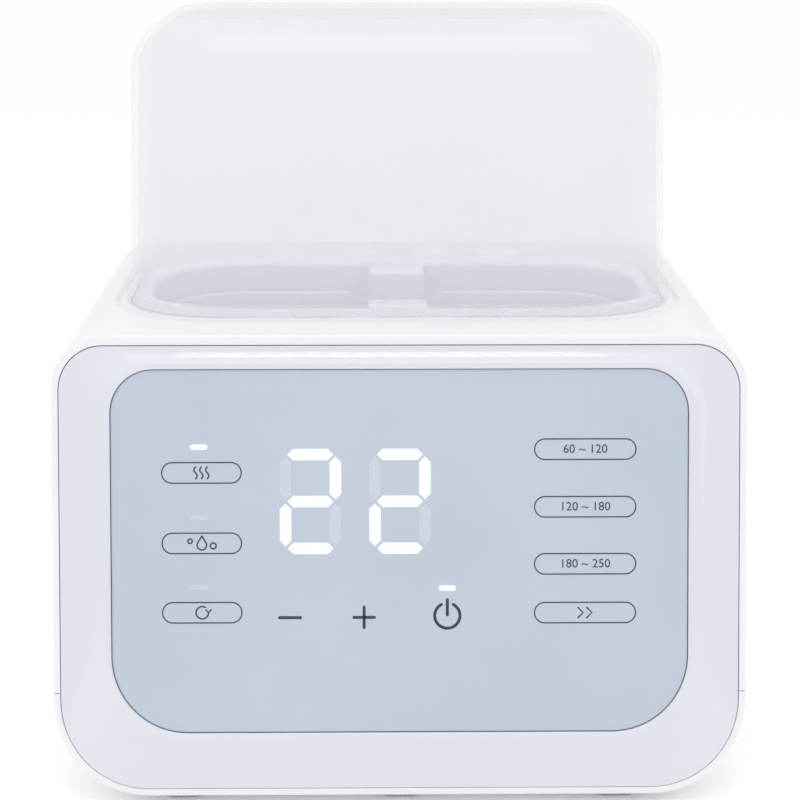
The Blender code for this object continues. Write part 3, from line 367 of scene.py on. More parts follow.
# %% Finishes for the inner pieces
INNER = {"control_board": leaning_green, "power_board": board_green, "digit_display": nylon, "buzzer": nylon,
         "thermostat": nylon, "transformer": nylon, "relay": nylon, "heater_seal": silicone,
         "heating_element": zinc, "heater_bracket": zinc, "temperature_sensor": zinc,
         "thermal_fuse": glass_sleeve, "heater_lead_left": glass_sleeve, "heater_lead_right": glass_sleeve,
         "control_harness": glass_sleeve, "mains_lead_live": red_silicone,
         "mains_lead_neutral": blue_silicone, "rating_label": film}
for start, material in (("touch_pad_", silicone), ("indicator_light_", glow), ("board_screw_", zinc),
                        ("bracket_screw_", zinc)):
    INNER.update({name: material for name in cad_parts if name.startswith(start)})
for name, material in INNER.items():
    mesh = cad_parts[name].data
    mesh.materials.clear()
    mesh.materials.append(material)
print("carried over:", len(INNER), "pieces")

# %% [markdown]
# ## The outer shell
#
# The housing and the base are one rounded box, split at a parting line so
# that a mould can open.  Its front is cut on a slant and left open for the
# touch front.  Looking along the depth, every section is the same rounded
# rectangle, so the shell is skinned from front to back and then split.

# %% The whole shell as a skin
def section_ring(inset, y_of_z, high=SHELL_TOP):
    """A section of the body, looking along its depth, drawn in by inset."""
    outline = rounded_rect(WIDTH - 2 * inset, high - SHELL_LOW - 2 * inset,
                           LOW_CORNER - inset, TOP_CORNER - inset)
    middle = (SHELL_LOW + high) / 2
    return [Vector((u, y_of_z(middle + v), middle + v)) for u, v in outline]


def slope_y(z):
    return FRONT_Y + (z - SHELL_LOW) * math.tan(LEAN)


def shell_skin():
    """A cup: rounded rim, straight sides, rounded rear, and the same again inside."""
    cavity_top = SHELL_TOP - TOP_WALL + WALL
    outside = [section_ring(inset, lambda z, b=back: slope_y(z) + b) for back, inset in eased(RIM_ROUND)]
    inside = [section_ring(WALL - inset, lambda z, b=back: slope_y(z) + b, cavity_top)
              for back, inset in eased(INNER_ROUND)]
    outside += [section_ring(inset, lambda z, y=REAR_Y - back: y)
                for inset, back in eased(REAR_ROUND, ROUND_STEPS)]
    inside += [section_ring(WALL + inset, lambda z, y=REAR_Y - WALL - back: y, cavity_top)
               for inset, back in eased(REAR_ROUND - WALL, ROUND_STEPS)]
    return skin(outside + inside[::-1], turn_at=len(outside))


def box_skin(low, high):
    corners = [(low[0], low[1]), (high[0], low[1]), (high[0], high[1]), (low[0], high[1])]
    return prism(corners, low[2], high[2])


# %% [markdown]
# ## The upper housing
#
# The top has a shallow dish with a softened edge, in which the lid stands,
# and a hole through which the well hangs.  Below the seat a thick ledge
# carries the well's flange.  All of them follow the same rounded rectangle
# about the middle of the well.

# %% Make the upper housing
well_low, well_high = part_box("water_well")
lid_low, lid_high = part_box("steam_lid")
inlet_low, inlet_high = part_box("power_inlet")
FLANGE_SIDE = 4.8 * MM
FLANGE_END = 13.8 * MM
FLANGE_THICK = 1.5 * MM
WELL_WALL = 1.8 * MM
WELL_CORNER = 28 * MM
LEDGE_THICK = 5 * MM
LEDGE_RIM = 4 * MM
COLUMN = 4 * MM
SOCKET_FLANGE = 3 * MM
LID_CORNER = 30 * MM
DISH_CLEARANCE = 1.2 * MM
DISH_SIDE = 3.4 * MM
DISH_END = 13.0 * MM
SEAT_Z = well_high.z
WELL_Y = (well_low.y + well_high.y) / 2
WELL_LENGTH = well_high.x - well_low.x - 2 * FLANGE_SIDE
LID_LENGTH = lid_high.x - lid_low.x
LID_WIDTH = lid_high.y - lid_low.y
OVER = SHELL_TOP + 4 * MM
screw_boxes = [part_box("base_screw_%d" % (k + 1)) for k in range(4)]


def plan_ring(length, width, radius, z):
    """A level rounded rectangle about the middle of the well."""
    return [Vector((u, WELL_Y + v, z)) for u, v in rounded_rect(length, width, radius)]


WELL_WIDTH = well_high.y - well_low.y - 2 * FLANGE_END
print("well mouth %.1f x %.1f mm" % (WELL_LENGTH / MM, WELL_WIDTH / MM))


def plan_block(length, width, radius, low, high):
    """A level rounded block about the middle of the well."""
    return skin([plan_ring(length, width, radius, z) for z in (low, high)])


def dish_skin():
    """The shallow recess that the lid stands in, with a rounded upper edge."""
    around = 2 * DISH_CLEARANCE
    floor = (LID_LENGTH + around, LID_WIDTH + around, LID_CORNER + DISH_CLEARANCE)
    edge = (LID_LENGTH + 2 * DISH_SIDE, LID_WIDTH + 2 * DISH_END, LID_CORNER + DISH_SIDE)
    rings = []
    for step in range(ROUND_STEPS + 1):
        t = step / ROUND_STEPS
        ease = t * t * (3 - 2 * t)
        rings.append(plan_ring(*(a + (b - a) * t for a, b in zip(floor, edge)),
                               SEAT_Z + (SHELL_TOP + 0.05 * MM - SEAT_Z) * ease))
    rings.append(plan_ring(*edge, OVER))
    return skin(rings)


def upper_housing():
    piece = solid("upper_housing_shell", shell_skin())
    around = 2 * (WELL_WALL + GAP)
    hole = (WELL_LENGTH + around, WELL_WIDTH + around, WELL_CORNER + WELL_WALL)
    ledge_low = SEAT_Z - LEDGE_THICK
    inner_top = SHELL_TOP - TOP_WALL * 3 / 4
    below = box_skin((-WIDTH, 2 * FRONT_Y, -WIDTH), (WIDTH, 2 * REAR_Y, HOUSING_LOW))
    ledge = plan_block(hole[0] + 2 * (LEDGE_RIM + FLANGE_SIDE), hole[1] + 2 * (LEDGE_RIM + FLANGE_END),
                       hole[2], ledge_low, inner_top)
    columns = [turned([(COLUMN, COLUMN_FOOT), (COLUMN, inner_top)],
                      (low.x / 2 + high.x / 2, low.y / 2 + high.y / 2, 0)) for low, high in screw_boxes]
    rebate = plan_block(WELL_LENGTH + 2 * (FLANGE_SIDE + GAP), WELL_WIDTH + 2 * (FLANGE_END + GAP),
                        WELL_CORNER + GAP, SEAT_Z - FLANGE_THICK - GAP, OVER)
    in_flange = SOCKET_FLANGE - GAP
    socket_hole = box_skin((inlet_low.x + in_flange, REAR_Y - 2 * WALL, inlet_low.z + in_flange),
                           (inlet_high.x - in_flange, REAR_Y + 2 * WALL, inlet_high.z - in_flange))
    change(piece, "DIFFERENCE", solid("below", below))
    change(piece, "UNION", solid("ledge", ledge))
    change(piece, "UNION", solid("columns", *columns))
    change(piece, "DIFFERENCE", solid("dish", dish_skin()))
    change(piece, "DIFFERENCE", solid("rebate", rebate))
    change(piece, "DIFFERENCE", solid("hole", plan_block(*hole, ledge_low - LEDGE_RIM, OVER)))
    change(piece, "DIFFERENCE", solid("socket_hole", socket_hole))
    return settle(piece)


show(upper_housing(), abs_white, stands_for=["upper_housing"])

# %% [markdown]
# ## The base
#
# The base closes the box from below.  Its underside has slots for cooling
# air, pockets for the feet, deep bores for the screws and a sunk place for a
# label.  Posts inside carry the power board.

# %% Make the base
FLOOR_TOP = SHELL_LOW + WALL
SLOTS = 9
SLOT_PITCH = 8 * MM
SLOT_SIZE = (3 * MM, 26 * MM)
SLOT_Y = -44 * MM
HEAD_BORE = 3.4 * MM
SHANK_BORE = 1.7 * MM
BOSS_HEIGHT = 3.5 * MM
SCREW_BOSS = 5.5 * MM
HEAD_DEPTH = 2.7 * MM
BOARD_POST = 3 * MM
POST_INSET = 6 * MM
foot_boxes = [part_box("foot_%d" % (k + 1)) for k in range(6)]
foot_places = [(low + high) / 2 for low, high in foot_boxes]
screw_places = [(low + high) / 2 for low, high in screw_boxes]
board_low, board_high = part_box("power_board")
label_low, label_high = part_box("rating_label")


def slot_outline(length, width, steps=8):
    """A slot with round ends, along v."""
    return [(width / 2 * math.cos(a), side * (length - width) / 2 + width / 2 * math.sin(a))
            for side, start in ((1, 0), (-1, math.pi))
            for a in [start + math.pi * k / steps for k in range(steps + 1)]]


def bottom_base():
    piece = solid("base_shell", shell_skin())
    above = box_skin((-WIDTH, 2 * FRONT_Y, BASE_TOP), (WIDTH, 2 * REAR_Y, WIDTH))
    change(piece, "DIFFERENCE", solid("above", above))
    sunk = FLOOR_TOP - WALL / 2
    posts = [turned([(SCREW_BOSS, sunk), (SCREW_BOSS, FLOOR_TOP + BOSS_HEIGHT)], (p.x, p.y, 0))
             for p in screw_places]
    for side in (-1, 1):
        for y in (board_low.y + POST_INSET, board_high.y - POST_INSET):
            posts.append(turned([(BOARD_POST, sunk), (BOARD_POST, board_low.z - GAP)],
                                (side * (board_high.x - POST_INSET), y, 0)))
    change(piece, "UNION", solid("posts", *posts))
    bore = [(HEAD_BORE, 0), (HEAD_BORE, SHELL_LOW + HEAD_DEPTH), (SHANK_BORE, SHELL_LOW + HEAD_DEPTH),
            (SHANK_BORE, FLOOR_TOP + 2 * BOSS_HEIGHT)]
    cuts = [turned(bore, (p.x, p.y, 0)) for p in screw_places]
    for low, high in [*foot_boxes, (label_low, label_high)]:
        cuts.append(box_skin((low.x - GAP, low.y - GAP, 0), (high.x + GAP, high.y + GAP, high.z + GAP)))
    for k in range(SLOTS):
        x = (k - (SLOTS - 1) / 2) * SLOT_PITCH
        outline = slot_outline(SLOT_SIZE[1], SLOT_SIZE[0])
        cuts.append(prism([(x + u, SLOT_Y + v) for u, v in outline], 0, 2 * FLOOR_TOP))
    change(piece, "DIFFERENCE", solid("cuts", *cuts))
    return settle(piece)


show(bottom_base(), abs_white, stands_for=["bottom_base"])

# %% [markdown]
# ## The front frame
#
# The touch panel sits in a frame whose surface starts flush with the shell
# and sweeps up to a thin lip.  That sweep is a cove: out grows with the
# square of the way in, so it leaves the shell without a crease.  A shelf
# behind the lip carries the panel.

# %% Make the front frame
bezel_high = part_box("front_bezel")[1]
BEZEL_IN = 2.2 * MM
BEZEL_TOP_IN = 2.95 * MM
BEZEL_PROUD = 3.0 * MM
BEZEL_LIP = 1.3 * MM
BEZEL_THICK = 2.0 * MM
BEZEL_SKIRT = 6.0 * MM
PANEL_SIDE = 14.25 * MM
PANEL_TOP = 6.15 * MM
PANEL_FOOT = 15.55 * MM
PANEL_RECESS = 0.7 * MM
PANEL_THICK = 2.0 * MM
PANEL_CORNER_TOP = 11.5 * MM
PANEL_CORNER_LOW = 20.5 * MM
COVE_STEPS = 14
LIP_ROUND = 0.4 * MM
SHELF_THICK = 1.2 * MM


def face_point(x, height, out, back=0.0):
    """A point by the leaning front: height above the shell's foot, and out of the face."""
    return Vector((x, FRONT_Y + height * math.tan(LEAN) + back, SHELL_LOW + height)) + OUTWARD * out


def face_ring(edge, out, back=0.0):
    """A rounded rectangle on the front; edge is half width, low, high, upper and lower corner."""
    half, low, high, corner_top, corner_low = edge
    return [face_point(u, (low + high) / 2 + v, out, back)
            for u, v in rounded_rect(2 * half, high - low, corner_low, corner_top)]


def grown(edge, distance):
    half, low, high, corner_top, corner_low = edge
    return (half + distance, low - distance, high + distance, corner_top + distance, corner_low + distance)


SEEN_GAP = 0.14 * MM
FRAME_EDGE = (WIDTH / 2 - BEZEL_IN, BEZEL_IN, BODY_HEIGHT - BEZEL_TOP_IN,
              TOP_CORNER - BEZEL_IN, LOW_CORNER - BEZEL_IN)
PANEL_EDGE = (FRAME_EDGE[0] - PANEL_SIDE, FRAME_EDGE[1] + PANEL_FOOT, FRAME_EDGE[2] - PANEL_TOP,
              PANEL_CORNER_TOP, PANEL_CORNER_LOW)
FRAME_EDGE = grown(FRAME_EDGE, GAP - SEEN_GAP)
PANEL_OUT = BEZEL_PROUD - PANEL_RECESS


def front_frame():
    lip = grown(PANEL_EDGE, GAP + BEZEL_LIP)
    mouth = grown(PANEL_EDGE, SEEN_GAP)
    seat = PANEL_OUT - PANEL_THICK - GAP
    rings = [face_ring(FRAME_EDGE, -GAP), face_ring(grown(FRAME_EDGE, -GAP / 2), -GAP / 6)]
    start = grown(FRAME_EDGE, -GAP)
    for step in range(COVE_STEPS + 1):
        t = step / COVE_STEPS
        edge = tuple(a + (b - a) * t for a, b in zip(start, lip))
        rings.append(face_ring(edge, (BEZEL_PROUD - LIP_ROUND / 4) * t * t))
    rings += [face_ring(grown(mouth, out), BEZEL_PROUD - down) for down, out in eased(LIP_ROUND)]
    shelf = grown(PANEL_EDGE, -BEZEL_THICK)
    back = grown(FRAME_EDGE, -BEZEL_THICK)
    rings += [face_ring(mouth, seat), face_ring(shelf, seat), face_ring(shelf, seat - SHELF_THICK),
              face_ring(back, -BEZEL_THICK), face_ring(back, 0.0, BEZEL_SKIRT),
              face_ring(FRAME_EDGE, 0.0, BEZEL_SKIRT)]
    return settle(solid("front_frame", skin(rings, closed=True)))


show(front_frame(), abs_pearl, stands_for=["front_bezel"])
print("frame box check: %.2f mm" % ((bezel_high.x - FRAME_EDGE[0]) / MM))

# %% [markdown]
# ## The touch panel
#
# One flat acrylic plate, printed on its back and lying a little below the
# lip.  Its front edge is eased by a small radius.

# %% Make the panel
PANEL_EASE = 0.35 * MM


def touch_panel():
    rings = [face_ring(PANEL_EDGE, PANEL_OUT - PANEL_THICK)]
    rings += [face_ring(grown(PANEL_EDGE, -inward), PANEL_OUT - down) for inward, down in eased(PANEL_EASE)]
    return settle(solid("touch_plate", skin(rings)))


show(touch_panel(), acrylic, stands_for=["touch_panel"])

# %% [markdown]
# ## Copies on points
#
# Keys, digit segments, windows, feet and screws are each one shape repeated.
# Geometry Nodes place the copies: a carrier mesh holds one point for each,
# with a turn on it, and the tree puts a piece there.  The tree ends by making
# the copies real and giving them their material, and its result is written
# down as a plain mesh.

# %% The tree that places copies
def new_tree(name, sockets):
    """A Geometry Nodes tree with a geometry input and output and the named inputs."""
    tree = bpy.data.node_groups.new(name, "GeometryNodeTree")
    tree.interface.new_socket("Geometry", in_out="INPUT", socket_type="NodeSocketGeometry")
    tree.interface.new_socket("Geometry", in_out="OUTPUT", socket_type="NodeSocketGeometry")
    for label, kind in sockets:
        tree.interface.new_socket(label, in_out="INPUT", socket_type=kind)
    return tree, add(tree, "NodeGroupInput").outputs


def end_tree(tree, points, piece, material):
    """Place the piece on the points by their turn, make the copies real and set the material."""
    turn = add(tree, "GeometryNodeInputNamedAttribute", {"Name": "turn"}, data_type="FLOAT_VECTOR")
    rotation = add(tree, "FunctionNodeEulerToRotation", {0: turn.outputs[0]})
    copies = add(tree, "GeometryNodeInstanceOnPoints", {"Points": points, "Instance": piece,
                                                        "Rotation": rotation.outputs[0]})
    real = add(tree, "GeometryNodeRealizeInstances", {0: copies.outputs[0]})
    painted = add(tree, "GeometryNodeSetMaterial", {"Geometry": real.outputs[0], "Material": material})
    add(tree, "NodeGroupOutput", {0: painted.outputs[0]})


def copies_tree():
    tree, given = new_tree("copies_on_points", (("Piece", "NodeSocketObject"),
                                                ("Material", "NodeSocketMaterial")))
    piece = add(tree, "GeometryNodeObjectInfo", {"Object": given["Piece"]}, transform_space="ORIGINAL")
    end_tree(tree, given["Geometry"], piece.outputs["Geometry"], given["Material"])
    return tree


COPIES = copies_tree()
FACE_EULER = FACE_TURN.to_euler()


def grow(name, tree, places, inputs, turns=None):
    """Run a tree on a carrier with a point at each place, and keep the result as a plain mesh."""
    carrier = bpy.data.meshes.new(name)
    carrier.from_pydata(places, [], [])
    turn = carrier.attributes.new("turn", "FLOAT_VECTOR", "POINT")
    for k, euler in enumerate(turns or [FACE_EULER] * len(places)):
        turn.data[k].vector = euler
    obj = bpy.data.objects.new(name, carrier)
    bpy.context.scene.collection.objects.link(obj)
    modifier = obj.modifiers.new("grow", "NODES")
    modifier.node_group = tree
    for item in tree.interface.items_tree:
        if item.in_out == "INPUT" and item.name in inputs:
            modifier[item.identifier] = inputs[item.name]
    settle(obj)
    print("%s: %d copies, %d faces" % (name, len(places), len(obj.data.polygons)))
    return obj


# %% [markdown]
# ## Key outlines
#
# Each function has a thin capsule printed round it.  A rounded rectangle
# curve with a small flat profile swept along it gives an even line.  The same
# tree makes both widths.

# %% Grow the key outlines
INK_THICK = 0.06 * MM
INK_OUT = PANEL_OUT + INK_THICK / 2
LINE = 0.32 * MM
KEY_HEIGHT = 5.6 * MM
LEFT_X = -53.9 * MM
RIGHT_X = 50.5 * MM
LEFT_HEIGHTS = [h * MM for h in (87.45, 68.6, 50.0)]
RIGHT_HEIGHTS = [h * MM for h in (93.5, 78.1, 62.8, 49.7)]
LEFT_LENGTH = 21.6 * MM
RIGHT_LENGTH = 27.6 * MM


def outline_tree():
    sizes = [(label, "NodeSocketFloat") for label in ("Length", "Height", "Line", "Thickness")]
    tree, given = new_tree("capsule_outlines", (*sizes, ("Corner steps", "NodeSocketInt"),
                                                ("Material", "NodeSocketMaterial")))
    path = add(tree, "GeometryNodeCurvePrimitiveQuadrilateral", {"Width": given["Length"],
                                                                 "Height": given["Height"]})
    half = add(tree, "ShaderNodeMath", {0: given["Height"], 1: 0.499}, operation="MULTIPLY")
    rounded = add(tree, "GeometryNodeFilletCurve", {"Curve": path.outputs[0], "Radius": half.outputs[0],
                                                    "Count": given["Corner steps"]}, mode="POLY")
    profile = add(tree, "GeometryNodeCurvePrimitiveQuadrilateral", {"Width": given["Line"],
                                                                    "Height": given["Thickness"]})
    line = add(tree, "GeometryNodeCurveToMesh", {"Curve": rounded.outputs[0],
                                                 "Profile Curve": profile.outputs[0]})
    end_tree(tree, given["Geometry"], line.outputs[0], given["Material"])
    return tree


OUTLINES = outline_tree()
for name, length, x, heights in (("left_key_outlines", LEFT_LENGTH, LEFT_X, LEFT_HEIGHTS),
                                 ("right_key_outlines", RIGHT_LENGTH, RIGHT_X, RIGHT_HEIGHTS)):
    outlines = grow(name, OUTLINES, [face_point(x, h, INK_OUT) for h in heights],
                    {"Length": length, "Height": KEY_HEIGHT, "Line": LINE, "Thickness": INK_THICK,
                     "Corner steps": 14, "Material": ink})
    show(outlines, ink)

# %% [markdown]
# ## Two digits
#
# The display has two seven-segment digits.  A segment is a long hexagon, and
# only its place and turn change.  Lit and unlit segments are two pieces, so
# each has its own finish.

# %% Grow the segments
DIGIT_CENTRES = (-24.3 * MM, 0.05 * MM)
DIGIT_MIDDLE = 79.7 * MM
DIGIT_WIDTH = 13.6 * MM
DIGIT_HEIGHT = 25.6 * MM
SEGMENT_WIDTH = 3.2 * MM
SEGMENT_SPACE = 0.5 * MM
LIT = "abged"
SEGMENTS = {"a": (0, 1, 0), "b": (1, 0.5, 1), "c": (1, -0.5, 1), "d": (0, -1, 0), "e": (-1, -0.5, 1),
            "f": (-1, 0.5, 1), "g": (0, 0, 0)}


def segment(name, length):
    """A long hexagon along u, about the origin."""
    half, tip = length / 2 - SEGMENT_SPACE, SEGMENT_WIDTH / 2
    outline = [(-half, 0), (-half + tip, -tip), (half - tip, -tip),
               (half, 0), (half - tip, tip), (-half + tip, tip)]
    return solid(name, prism(outline, -INK_THICK / 2, INK_THICK / 2))


flat_segment = segment("flat_segment", DIGIT_WIDTH)
upright_segment = segment("upright_segment", DIGIT_HEIGHT / 2)
for lit, name, material, slot in ((True, "lit", glow, "led_diffuser"),
                                  (False, "unlit", faint_ink, "tinted_panel")):
    for upright, blank in ((0, flat_segment), (1, upright_segment)):
        places, turns = [], []
        for centre in DIGIT_CENTRES:
            for letter, (u, v, stands) in SEGMENTS.items():
                if stands == upright and (letter in LIT) == lit:
                    places.append(face_point(centre + u * DIGIT_WIDTH / 2,
                                             DIGIT_MIDDLE + v * DIGIT_HEIGHT / 2 * math.cos(LEAN), INK_OUT))
                    turns.append((FACE_TURN @ Matrix.Rotation(math.pi / 2 * stands, 3, "Z")).to_euler())
        if places:
            piece = grow("%s_%s_segments" % (name, "upright" if upright else "flat"), COPIES, places,
                         {"Piece": blank, "Material": material}, turns)
            show(piece, material)
for blank in (flat_segment, upright_segment):
    bpy.data.objects.remove(blank)

# %% [markdown]
# ## Indicator windows
#
# A small window above a key glows while that function runs.  Two are lit and
# the others show only as a paler shape under the panel.

# %% Grow the windows
WINDOW_LENGTH = 4.8 * MM
WINDOW_HEIGHT = 1.6 * MM
POWER_X = 12.9 * MM
LIT_WINDOWS = [(LEFT_X - 0.7 * MM, 94.3 * MM), (POWER_X, 56.4 * MM)]
DARK_WINDOWS = [(LEFT_X - 0.7 * MM, 75.5 * MM), (LEFT_X - 0.7 * MM, 56.8 * MM)]


def capsule(length, height, steps=10):
    """A capsule outline along u."""
    return [(v, -u) for u, v in slot_outline(length, height, steps)]


window = solid("window", prism(capsule(WINDOW_LENGTH, WINDOW_HEIGHT), -INK_THICK / 2, INK_THICK / 2))
for name, places, material, slot in (("lit_windows", LIT_WINDOWS, glow, "led_diffuser"),
                                     ("dark_windows", DARK_WINDOWS, faint_ink, "tinted_panel")):
    piece = grow(name, COPIES, [face_point(x, h, INK_OUT) for x, h in places],
                 {"Piece": window, "Material": material})
    show(piece, material)
bpy.data.objects.remove(window)

# %% [markdown]
# ## Printed symbols
#
# The keys carry small line drawings: steam, a drop, a turning arrow and a
# double arrow, then minus, plus and the usual power mark.  A line is a ribbon
# of even width with round ends, drawn from a few points or an arc.

# %% Draw the symbols
def ribbon(points, width):
    """A flat outline of even width along points (u, v), with round ends."""
    points = [Vector((u, v)) for u, v in points]
    left, right = [], []
    for k, point in enumerate(points):
        before = points[max(k - 1, 0)]
        after = points[min(k + 1, len(points) - 1)]
        along = (after - before).normalized()
        across = Vector((-along.y, along.x)) * width / 2
        left.append(point + across)
        right.append(point - across)
    caps = []
    for point, side in ((points[-1], right[-1] - points[-1]), (points[0], left[0] - points[0])):
        caps.append([point + Matrix.Rotation(math.pi * k / 6, 2) @ side for k in range(1, 6)])
    return [tuple(p) for p in right + caps[0] + left[::-1] + caps[1]]


def arc(cu, cv, radius, start, end, steps=20):
    """Points of an arc, angles in degrees, anticlockwise from +u."""
    angles = [math.radians(start + (end - start) * k / steps) for k in range(steps + 1)]
    return [(cu + radius * math.cos(a), cv + radius * math.sin(a)) for a in angles]


def printed(name, strokes, width):
    """Strokes are (x, height, points): points are millimetres about that place on the front."""
    parts = []
    for x, height, points in strokes:
        flat = ribbon([(u * MM, v * MM) for u, v in points], width)
        parts.append(prism(flat, PANEL_OUT, PANEL_OUT + INK_THICK,
                           lambda u, v, w, x=x, h=height: face_point(x + u, h + v * math.cos(LEAN), w)))
    return solid(name, *parts)


def steam(u):
    """One rising wisp of steam."""
    return [(u + 0.45 * math.sin(k / 12 * 2 * math.pi), -1.6 + 3.2 * k / 12) for k in range(13)]


DROP = [(0, 2.0), *arc(0, -0.5, 1.3, 150, 390), (0, 2.0)]
TURN = arc(0, 0, 1.7, 60, 360)
TURN_TIP = [(1.0, 0.75), (1.7, 0.0), (2.4, 0.75)]
fine_strokes = [(LEFT_X, LEFT_HEIGHTS[0], steam(u)) for u in (-1.6, 0.0, 1.6)]
fine_strokes += [(LEFT_X, LEFT_HEIGHTS[1], DROP), (LEFT_X, LEFT_HEIGHTS[1], arc(-3.2, 0.6, 0.6, 0, 350)),
                 (LEFT_X, LEFT_HEIGHTS[1], arc(3.1, -0.7, 0.8, 0, 350))]
fine_strokes += [(LEFT_X, LEFT_HEIGHTS[2], TURN), (LEFT_X, LEFT_HEIGHTS[2], TURN_TIP)]
fine_strokes += [(RIGHT_X, RIGHT_HEIGHTS[3], [(u, 1.4), (u + 1.4, 0), (u, -1.4)]) for u in (-1.9, 0.5)]
FINE_LINE = 0.38 * MM
show(printed("key_symbols", fine_strokes, FINE_LINE), ink)

CONTROL_HEIGHT = 48.6 * MM
POWER_HEIGHT = 49.0 * MM
MINUS_X = -30.0 * MM
PLUS_X = -9.8 * MM
BOLD_LINE = 0.8 * MM
bold_strokes = [(MINUS_X, CONTROL_HEIGHT, [(-2.9, 0), (2.9, 0)]),
                (PLUS_X, CONTROL_HEIGHT, [(-2.8, 0), (2.8, 0)]),
                (PLUS_X, CONTROL_HEIGHT, [(0, -2.8), (0, 2.8)]),
                (POWER_X, POWER_HEIGHT, arc(0, 0, 3.45, 118, 422, 36)),
                (POWER_X, POWER_HEIGHT, [(0, 0.2), (0, 4.4)])]
show(printed("control_symbols", bold_strokes, BOLD_LINE), ink)

# %% [markdown]
# ## Printed numbers
#
# Three keys choose how much milk is in the bottle, by a range in millilitres.
# Blender's own text makes the numerals; they become a mesh before they are
# laid on the front.

# %% Print the numbers
NUMBER_SIZE = 3.35 * MM


def numbers(name, words):
    work = bmesh.new()
    for text, x, height in words:
        curve = bpy.data.curves.new(name, "FONT")
        curve.body = text
        curve.size = NUMBER_SIZE
        curve.align_x = "CENTER"
        curve.align_y = "CENTER"
        curve.extrude = INK_THICK / 2
        curve.resolution_u = 4
        written = bpy.data.objects.new(name, curve)
        bpy.context.scene.collection.objects.link(written)
        mesh = bpy.data.meshes.new_from_object(written.evaluated_get(bpy.context.evaluated_depsgraph_get()))
        mesh.transform(Matrix.Translation(face_point(x, height, INK_OUT)) @ FACE_TURN.to_4x4())
        work.from_mesh(mesh)
        bpy.data.objects.remove(written)
    bmesh.ops.remove_doubles(work, verts=work.verts, dist=0.001 * MM)
    mesh = bpy.data.meshes.new(name)
    work.to_mesh(mesh)
    obj = bpy.data.objects.new(name, mesh)
    bpy.context.scene.collection.objects.link(obj)
    return obj


RANGES = ("60 ~ 120", "120 ~ 180", "180 ~ 250")
words = [(text, RIGHT_X, height) for text, height in zip(RANGES, RIGHT_HEIGHTS)]
show(numbers("key_numbers", words), ink)

# %% [markdown]
# ## The water well
#
# Water lies in a deep tub whose flange hangs on the housing's ledge.  Its
# floor is open over the heater plate.  The mouth and the foot of the walls
# are rounded, because a sharp inside corner can't be wiped clean.

# %% Make the well
plate_low, plate_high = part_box("heater_plate")
WELL_FLOOR = plate_high.z
WELL_DRAFT = 2.5 * MM
WELL_EASE = 1.5 * MM
WELL_FILLET = 3 * MM
HEATER_INSET = 9 * MM
BOSS_TUCK = 2 * MM
WELL_BOSS = 3.4 * MM
BOSS_OUT = 3 * MM
BOSS_RISE = 9 * MM
PILOT_DEPTH = 10 * MM


def well_ring(growth, z):
    return plan_ring(WELL_LENGTH + 2 * growth, WELL_WIDTH + 2 * growth, WELL_CORNER + growth, z)


def floor_ring(growth, z):
    """Rings that follow the heater's opening in the well's floor."""
    inset = WELL_DRAFT + HEATER_INSET - growth
    return plan_ring(WELL_LENGTH - 2 * inset, WELL_WIDTH - 2 * inset, WELL_CORNER - HEATER_INSET + growth, z)


def water_well():
    flange = (WELL_LENGTH + 2 * FLANGE_SIDE, WELL_WIDTH + 2 * FLANGE_END, WELL_CORNER)
    rings = [plan_ring(*flange, SEAT_Z - FLANGE_THICK), plan_ring(*flange, SEAT_Z)]
    rings += [well_ring(out, SEAT_Z - down) for down, out in eased(WELL_EASE)]
    rings += [well_ring(-WELL_DRAFT - inward, WELL_FLOOR + rise) for inward, rise in eased(WELL_FILLET)]
    under = WELL_FLOOR - WELL_WALL
    rings += [floor_ring(0, WELL_FLOOR), floor_ring(0, under),
              well_ring(WELL_WALL - WELL_DRAFT - WELL_FILLET, under),
              well_ring(WELL_WALL - WELL_DRAFT, under + WELL_FILLET),
              well_ring(WELL_WALL, SEAT_Z - FLANGE_THICK)]
    piece = solid("water_tub", skin(rings, closed=True))
    boss_x = WELL_LENGTH / 2 - WELL_CORNER + BOSS_TUCK
    boss_y = WELL_WIDTH / 2 - WELL_DRAFT + WELL_WALL + BOSS_OUT
    places = [(sx * boss_x, WELL_Y + sy * boss_y, 0) for sx in (-1, 1) for sy in (-1, 1)]
    boss = [(WELL_BOSS, plate_low.z), (WELL_BOSS, WELL_FLOOR + BOSS_RISE)]
    pilot = [(SHANK_BORE, 0), (SHANK_BORE, plate_low.z + PILOT_DEPTH)]
    change(piece, "UNION", solid("bosses", *[turned(boss, place) for place in places]))
    change(piece, "DIFFERENCE", solid("pilots", *[turned(pilot, place) for place in places]))
    return settle(piece)


show(water_well(), satin_well, stands_for=["water_well"])


PLATE_EASE = 0.8 * MM
PLATE_STEP = 2.5 * MM
PLATE_LAP = 6 * MM


def heater_plate():
    step = plate_low.z + PLATE_STEP
    rings = [floor_ring(PLATE_LAP, plate_low.z), floor_ring(PLATE_LAP, step), floor_ring(-2 * GAP, step)]
    rings += [floor_ring(-2 * GAP - inward, plate_high.z - down) for inward, down in eased(PLATE_EASE)]
    return settle(solid("hot_plate", skin(rings)))


show(heater_plate(), aluminium, stands_for=["heater_plate"])

# %% [markdown]
# ## The bottle rack
#
# The rack is a loose basket with two bays.  At the middle of each long side a
# post rises to the seat, and the rim runs down from it in a small fillet.
# The posts are what a hand takes hold of.

